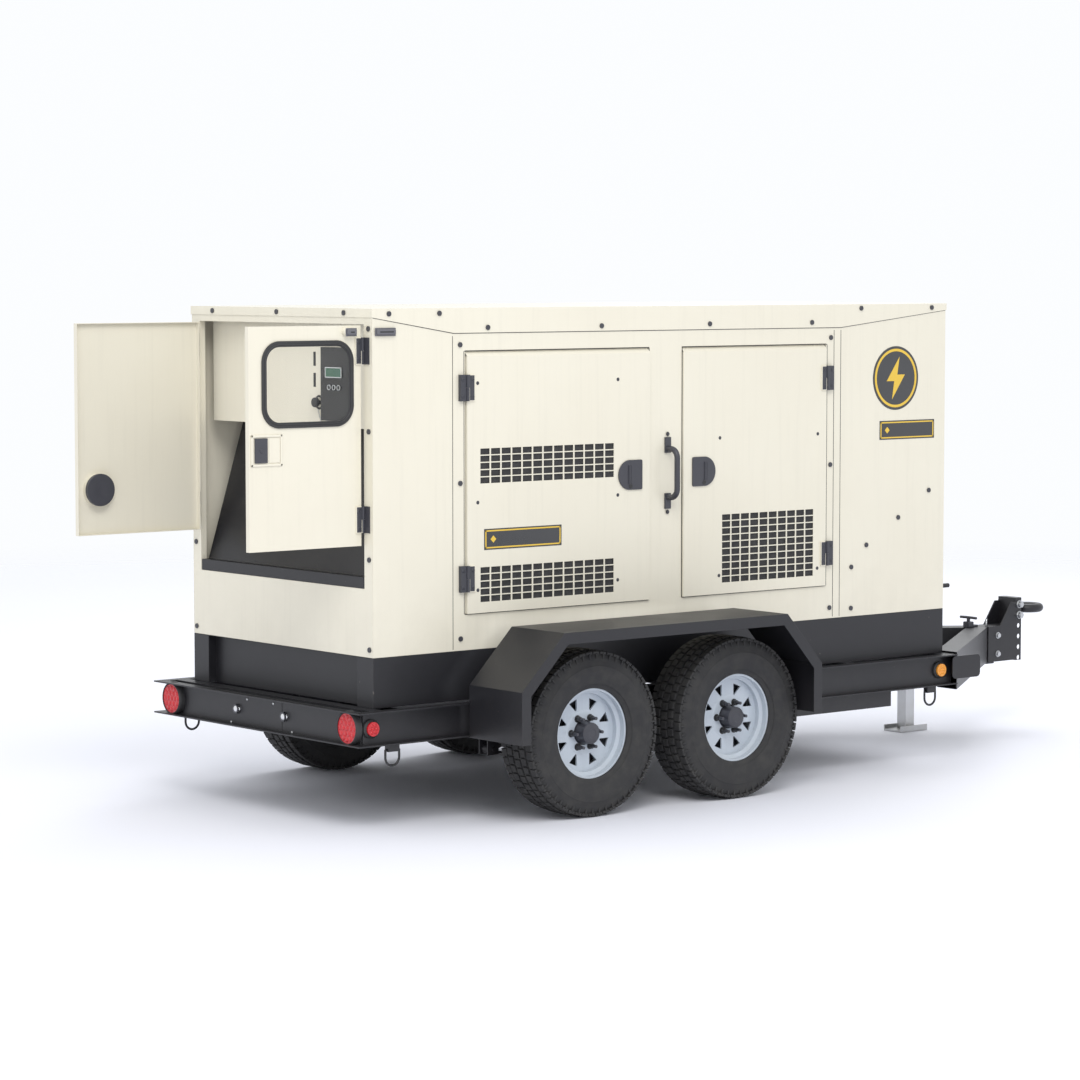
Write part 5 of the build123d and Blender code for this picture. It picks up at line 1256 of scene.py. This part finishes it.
@dataclass
class RearBay:
    """What shows behind the open rear doors, and the doors' own fittings."""

    screen_y: Span = (-0.392, -0.275)
    screen_z: Span = (1.883, 1.928)
    screen_rim: float = 0.004
    link: Profile = ((-0.0012, 0.0028), (0, 0.0022), (0.0012, 0.0028),
                     (0.0012, 0.0042), (0, 0.0048), (-0.0012, 0.0042))
    links: int = 22
    chain_sag: float = 0.065
    chain_run: float = 0.085
    chain_z: float = 1.742
    knob_y: float = -0.196
    knob_z: float = 1.775
    knob_ring: Profile = ((0, 0.022), (0.0015, 0.022), (0.0018, 0.030), (0, 0.031))
    catch_z: tuple[Span, Span, Span] = ((2.065, 2.099), (2.070, 2.094), (2.079, 2.085))
    cover: Profile = ((0, 0), (0, 0.0705), (0.0140, 0.0705), (0.0158, 0.0680),
                      (0.0158, 0.030), (0.0150, 0.028), (0.0150, 0))

    def build(self) -> None:
        """Dresses the control face, the window and the door bumpers."""
        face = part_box("control_module")[0].x
        Shop.done(Shop.copy_node("control_module", 0.003, 3), "control_module_case", "black_plastic", "chassis",
                  ("control_module",))
        y, z, rim = self.screen_y, self.screen_z, self.screen_rim
        bars = [Shop.block((face - 0.0025, face + 0.001), span_y, span_z, 0.0010) for span_y, span_z in (
            (y, (z[0], z[0] + rim)), (y, (z[1] - rim, z[1])), ((y[0], y[0] + rim), z), ((y[1] - rim, y[1]), z))]
        Shop.done(Shop.join(bars), "screen_frame", "sign_pale", "chassis")
        screen = Shop.block((face - 0.0012, face + 0.001), (y[0] + rim, y[1] - rim), (z[0] + rim, z[1] - rim), 0.0005)
        Shop.done(screen, "screen_glass", "screen_green", "chassis")
        button = Shop.lathe([(0, 0.0095), (0, 0.0115), (0.0042, 0.0115), (0.0042, 0.0095)], steps=32)
        spots = [facing((face - 0.0003, -0.3385 + 0.034 * k, 1.842), (-1, 0, 0)) for k in (-1, 0, 1)]
        Shop.done(Shop.repeat(button, spots), "module_buttons", "sign_pale", "chassis")
        self._slots()
        self._window()
        self._bumpers()

    def _slots(self) -> None:
        """Adds the two louvred slots, the stop knob's plate and its chain to the control face."""
        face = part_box("control_box")[0].x
        slots = [Shop.block((face - 0.0015, face + 0.0005), (-0.172, -0.156), span, 0.0007)
                 for span in ((1.930, 1.990), (1.840, 1.900))]
        Shop.done(Shop.join(slots), "control_slots", "gasket_rubber", "chassis")
        link = Shop.lathe(self.link, steps=14)
        chain = []
        for k in range(self.links):
            t = k / (self.links - 1)
            drop = self.chain_sag * math.sin(math.pi * t)
            place = (face - 0.006, self.knob_y - self.chain_run * t, self.chain_z - drop)
            chain.append(facing(place, (0, 1, 0) if k % 2 else (-1, 0.4, 0)))
        Shop.done(Shop.repeat(link, chain), "stop_chain", "zinc_plate", "chassis")
        plate = Shop.lathe(self.knob_ring, (face - 0.0001, self.knob_y, self.knob_z), (-1, 0, 0), 40)
        Shop.done(plate, "stop_ring", "gasket_rubber", "chassis")

    def _window(self) -> None:
        """Rounds the window's gasket and adds its locking strip."""
        Shop.done(Shop.copy_node("window_gasket", 0.0022, 3), "window_seal", "gasket_rubber", "right_rear_door",
                  ("window_gasket",))
        low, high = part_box("window_gasket")
        inset, r = 0.014, 0.078
        x0, x1, z0, z1 = low.x + inset, high.x - inset, low.z + inset, high.z - inset
        line = []
        for cx, cz, start in ((x1 - r, z1 - r, 0), (x0 + r, z1 - r, 90), (x0 + r, z0 + r, 180), (x1 - r, z0 + r, 270)):
            for step in range(0, 91, 15):
                a = math.radians(start + step)
                line.append((cx + r * math.cos(a), low.y - 0.0002, cz + r * math.sin(a)))
        Shop.done(Shop.wire(line, 0.0028, True), "window_lock_strip", "black_plastic", "right_rear_door", smooth=60.0)

    def _bumpers(self) -> None:
        """Adds the grey door-holding catches beside the top of the rear doors."""
        for side, s in SIDES.items():
            low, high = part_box(f"rear_door_{side}")
            for name, x, y, body in (("door", (at(-1.450), at(-1.394)), 0.633, f"{side}_rear_door"),
                                     ("panel", (at(-1.329), at(-1.222)), 0.6735, "chassis")):
                plate = Shop.block(x, (s * y, s * (y + 0.004)), self.catch_z[0], 0.0019, 3)
                nose = Shop.block((x[0] + 0.004, x[1] - 0.004), (s * y, s * (y + 0.014)), self.catch_z[1], 0.0065, 4)
                Shop.done(Shop.join([plate, nose]), f"{side}_catch_{name}", "catch_grey", body)
                slot = Shop.block((x[0] + 0.018, x[1] - 0.018), (s * (y + 0.0125), s * (y + 0.0144)),
                                  self.catch_z[2], 0.0005)
                Shop.done(slot, f"{side}_catch_{name}_slot", "gasket_rubber", body)
            LOG.info("rear door %s is %.3f tall", side, high.z - low.z)
        cover = Shop.lathe(self.cover, (at(-1.883), 0.5872, 1.386), (0, -1, 0), 56)
        Shop.done(cover, "left_latch_cover", "black_hardware", "left_rear_door")


@dataclass
class Signs:
    """Generic plates and a plain electric mark in place of the maker's own."""

    rise: float = 0.0010
    edge: float = 0.006
    tile: float = 0.022
    mark_reach: float = 1.73
    mark_z: float = 1.83
    mark_r: float = 0.150
    mark_ring: Span = (0.126, 0.138)
    flash: Profile = ((0.024, 0.100), (-0.060, -0.014), (-0.010, -0.014),
                      (-0.024, -0.100), (0.060, 0.016), (0.010, 0.016))

    def build(self) -> None:
        """Puts the plates on the doors and the side panels."""
        for side, s in SIDES.items():
            self._plate(f"{side}_door_sign", f"rear_{side}_side_door", s, 0.6801, (-0.756, -0.326), (1.145, 1.235))
            self._plate(f"{side}_front_sign", "chassis", s, 0.6701, (1.626, 1.991), (1.541, 1.630))
            self._bolt_mark(side, s)

    def _plate(self, name: str, body: str, s: int, y: float, x: Span, z: Span) -> None:
        """Models a dark plate with a yellow border and one yellow tile.

        Args:
            name: The plate's name.
            body: The body that it is stuck to.
            s: Its side's sign along Y.
            y: The skin that it lies on.
            x: Its span in reach.
            z: Its span in height.
        """
        back = Shop.block((at(x[0]), at(x[1])), (s * y, s * (y + self.rise)), z, 0.0004)
        Shop.done(back, name, "sign_dark", body)
        edge, lift = self.edge, self.rise * 1.5
        (x0, x1), (z0, z1) = x, z
        frame = [Shop.block((at(a), at(b)), (s * y, s * (y + lift)), (c, d), 0.0003) for a, b, c, d in (
            (x0 + edge, x1 - edge, z0 + edge, z0 + 2 * edge), (x0 + edge, x1 - edge, z1 - 2 * edge, z1 - edge),
            (x0 + edge, x0 + 2 * edge, z0 + edge, z1 - edge), (x1 - 2 * edge, x1 - edge, z0 + edge, z1 - edge))]
        middle, size = (z0 + z1) / 2, self.tile
        corner = at(x[0]) + 0.050
        spin = Matrix.Rotation(math.radians(45), 4, "Y")
        tile = Shop.block((-size / 2, size / 2), (s * y, s * (y + lift)), (-size / 2, size / 2), 0.0003)
        frame.append(Shop.repeat(tile, [Matrix.Translation((corner, 0, middle)) @ spin]))
        Shop.done(Shop.join(frame), f"{name}_border", "sign_yellow", body)

    def _bolt_mark(self, side: str, s: int) -> None:
        """Models a plain lightning flash in a ring on the front side panel.

        Args:
            side: Which side of the machine.
            s: That side's sign along Y.
        """
        centre, r = (at(self.mark_reach), s * 0.6702, self.mark_z), self.mark_r
        disc = Shop.lathe([(0, 0), (0, r), (self.rise, r), (self.rise, 0)], centre, (0, s, 0), 72)
        Shop.done(disc, f"{side}_electric_disc", "sign_dark", "chassis")
        lift = 1.6 * self.rise
        near, far = self.mark_ring
        ring = Shop.lathe([(0, near), (lift, near), (lift, far), (0, far)], centre, (0, s, 0), 72)
        mesh = bpy.data.meshes.new("flash")
        mesh.from_pydata([(centre[0] - s * x, centre[1], centre[2] + z) for x, z in self.flash],
                         [], [tuple(range(len(self.flash)))])
        flash = Shop.add("flash", mesh)
        Shop.edit(flash)
        bpy.ops.mesh.extrude_region_move(TRANSFORM_OT_translate={"value": (0, s * lift, 0)})
        bpy.ops.mesh.select_all(action="SELECT")
        bpy.ops.mesh.normals_make_consistent(inside=False)
        bpy.ops.object.mode_set(mode="OBJECT")
        Shop.done(Shop.join([ring, flash]), f"{side}_electric_mark", "sign_yellow", "chassis")


@dataclass
class Studio:
    """The pale floor, the soft lights and the camera."""

    camera_place: Point = (-10.7675, -12.337, 2.350)
    yaw: float = 50.576
    pitch: float = -4.46
    lens: float = 116.54
    floor_fade: Span = (7.0, 14.0)

    def build(self) -> None:
        """Sets up everything that isn't the object."""
        bpy.ops.mesh.primitive_plane_add(size=160, location=(0, 0, -0.001))
        floor = bpy.context.object
        floor.name = "floor"
        graph = Graph("floor")
        cloud = graph.noise(0.6, 3.0)
        graph.feed("Base Color", graph.mix(cloud, (0.82, 0.83, 0.90), (0.84, 0.85, 0.92)))
        graph.feed("Roughness", cloud * 0.1 + 0.75)
        x, y, _ = graph.axes()
        graph.feed("Alpha", 1.0 - ((x * x + y * y) ** 0.5).ramp(*self.floor_fade))
        floor.data.materials.append(graph.material)
        world = bpy.data.worlds.new("studio")
        world.use_nodes = True
        world.node_tree.nodes["Background"].inputs[0].default_value = (0.97, 0.985, 1.0, 1.0)
        world.node_tree.nodes["Background"].inputs[1].default_value = 1.0
        bpy.context.scene.world = world
        self._lamp("key", (-6.0, -7.0, 9.0), 5.0, 530.0, (1.0, 0.985, 0.96))
        self._lamp("rim", (7.0, 5.0, 8.0), 5.0, 300.0, (0.97, 0.98, 1.0))
        self._camera()
        bpy.context.scene.view_settings.view_transform = "Standard"

    def _lamp(self, name: str, place: Point, size: float, watts: float, colour: Colour) -> None:
        """Adds a large soft light that looks at the object's middle.

        Args:
            name: The light's name.
            place: Where it hangs.
            size: Its side.
            watts: Its power.
            colour: Its colour.
        """
        light = bpy.data.lights.new(name, "AREA")
        light.size, light.energy, light.color = size, watts, colour
        lamp = Shop.add(name, light)
        lamp.location = place
        lamp.rotation_euler = (Vector((0, 0, 1.0)) - Vector(place)).to_track_quat("-Z", "Y").to_euler()

    def _camera(self) -> None:
        """Adds the camera at its standing place."""
        lens = bpy.data.cameras.new("camera")
        lens.lens, lens.sensor_width, lens.clip_end = self.lens, 36.0, 400.0
        camera = Shop.add("camera", lens)
        camera.location = self.camera_place
        yaw, pitch = math.radians(self.yaw), math.radians(self.pitch)
        look = Vector((math.cos(pitch) * math.cos(yaw), math.cos(pitch) * math.sin(yaw), math.sin(pitch)))
        camera.rotation_euler = look.to_track_quat("-Z", "Y").to_euler()
        bpy.context.scene.camera = camera


def dress_nodes(frame: dict) -> None:
    """Gives every CAD node its slot's finish, whether or not a piece stands for it.
    """
    for part in frame["record"]["subparts"]:
        node = frame["nodes"][part["node"]]
        finish = part["material_slot"]
        if not node.material_slots:
            node.data.materials.append(None)
        for slot in node.material_slots:
            slot.material = Paint.get(finish)
        LOG.info("%s takes %s", part["node"], finish)


def main() -> None:
    """Builds the scene in order."""
    logging.basicConfig(level=logging.INFO, format="%(message)s")
    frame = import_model()
    bpy.ops.object.select_all(action="DESELECT")
    dress_nodes(frame)
    for assembly in (Chassis(), Bodywork(), Hardware(), Wheel(), Lamps(), RearBay(), Signs(), Studio()):
        LOG.info("building %s", type(assembly).__name__)
        assembly.build()


if __name__ == "__main__":
    main()
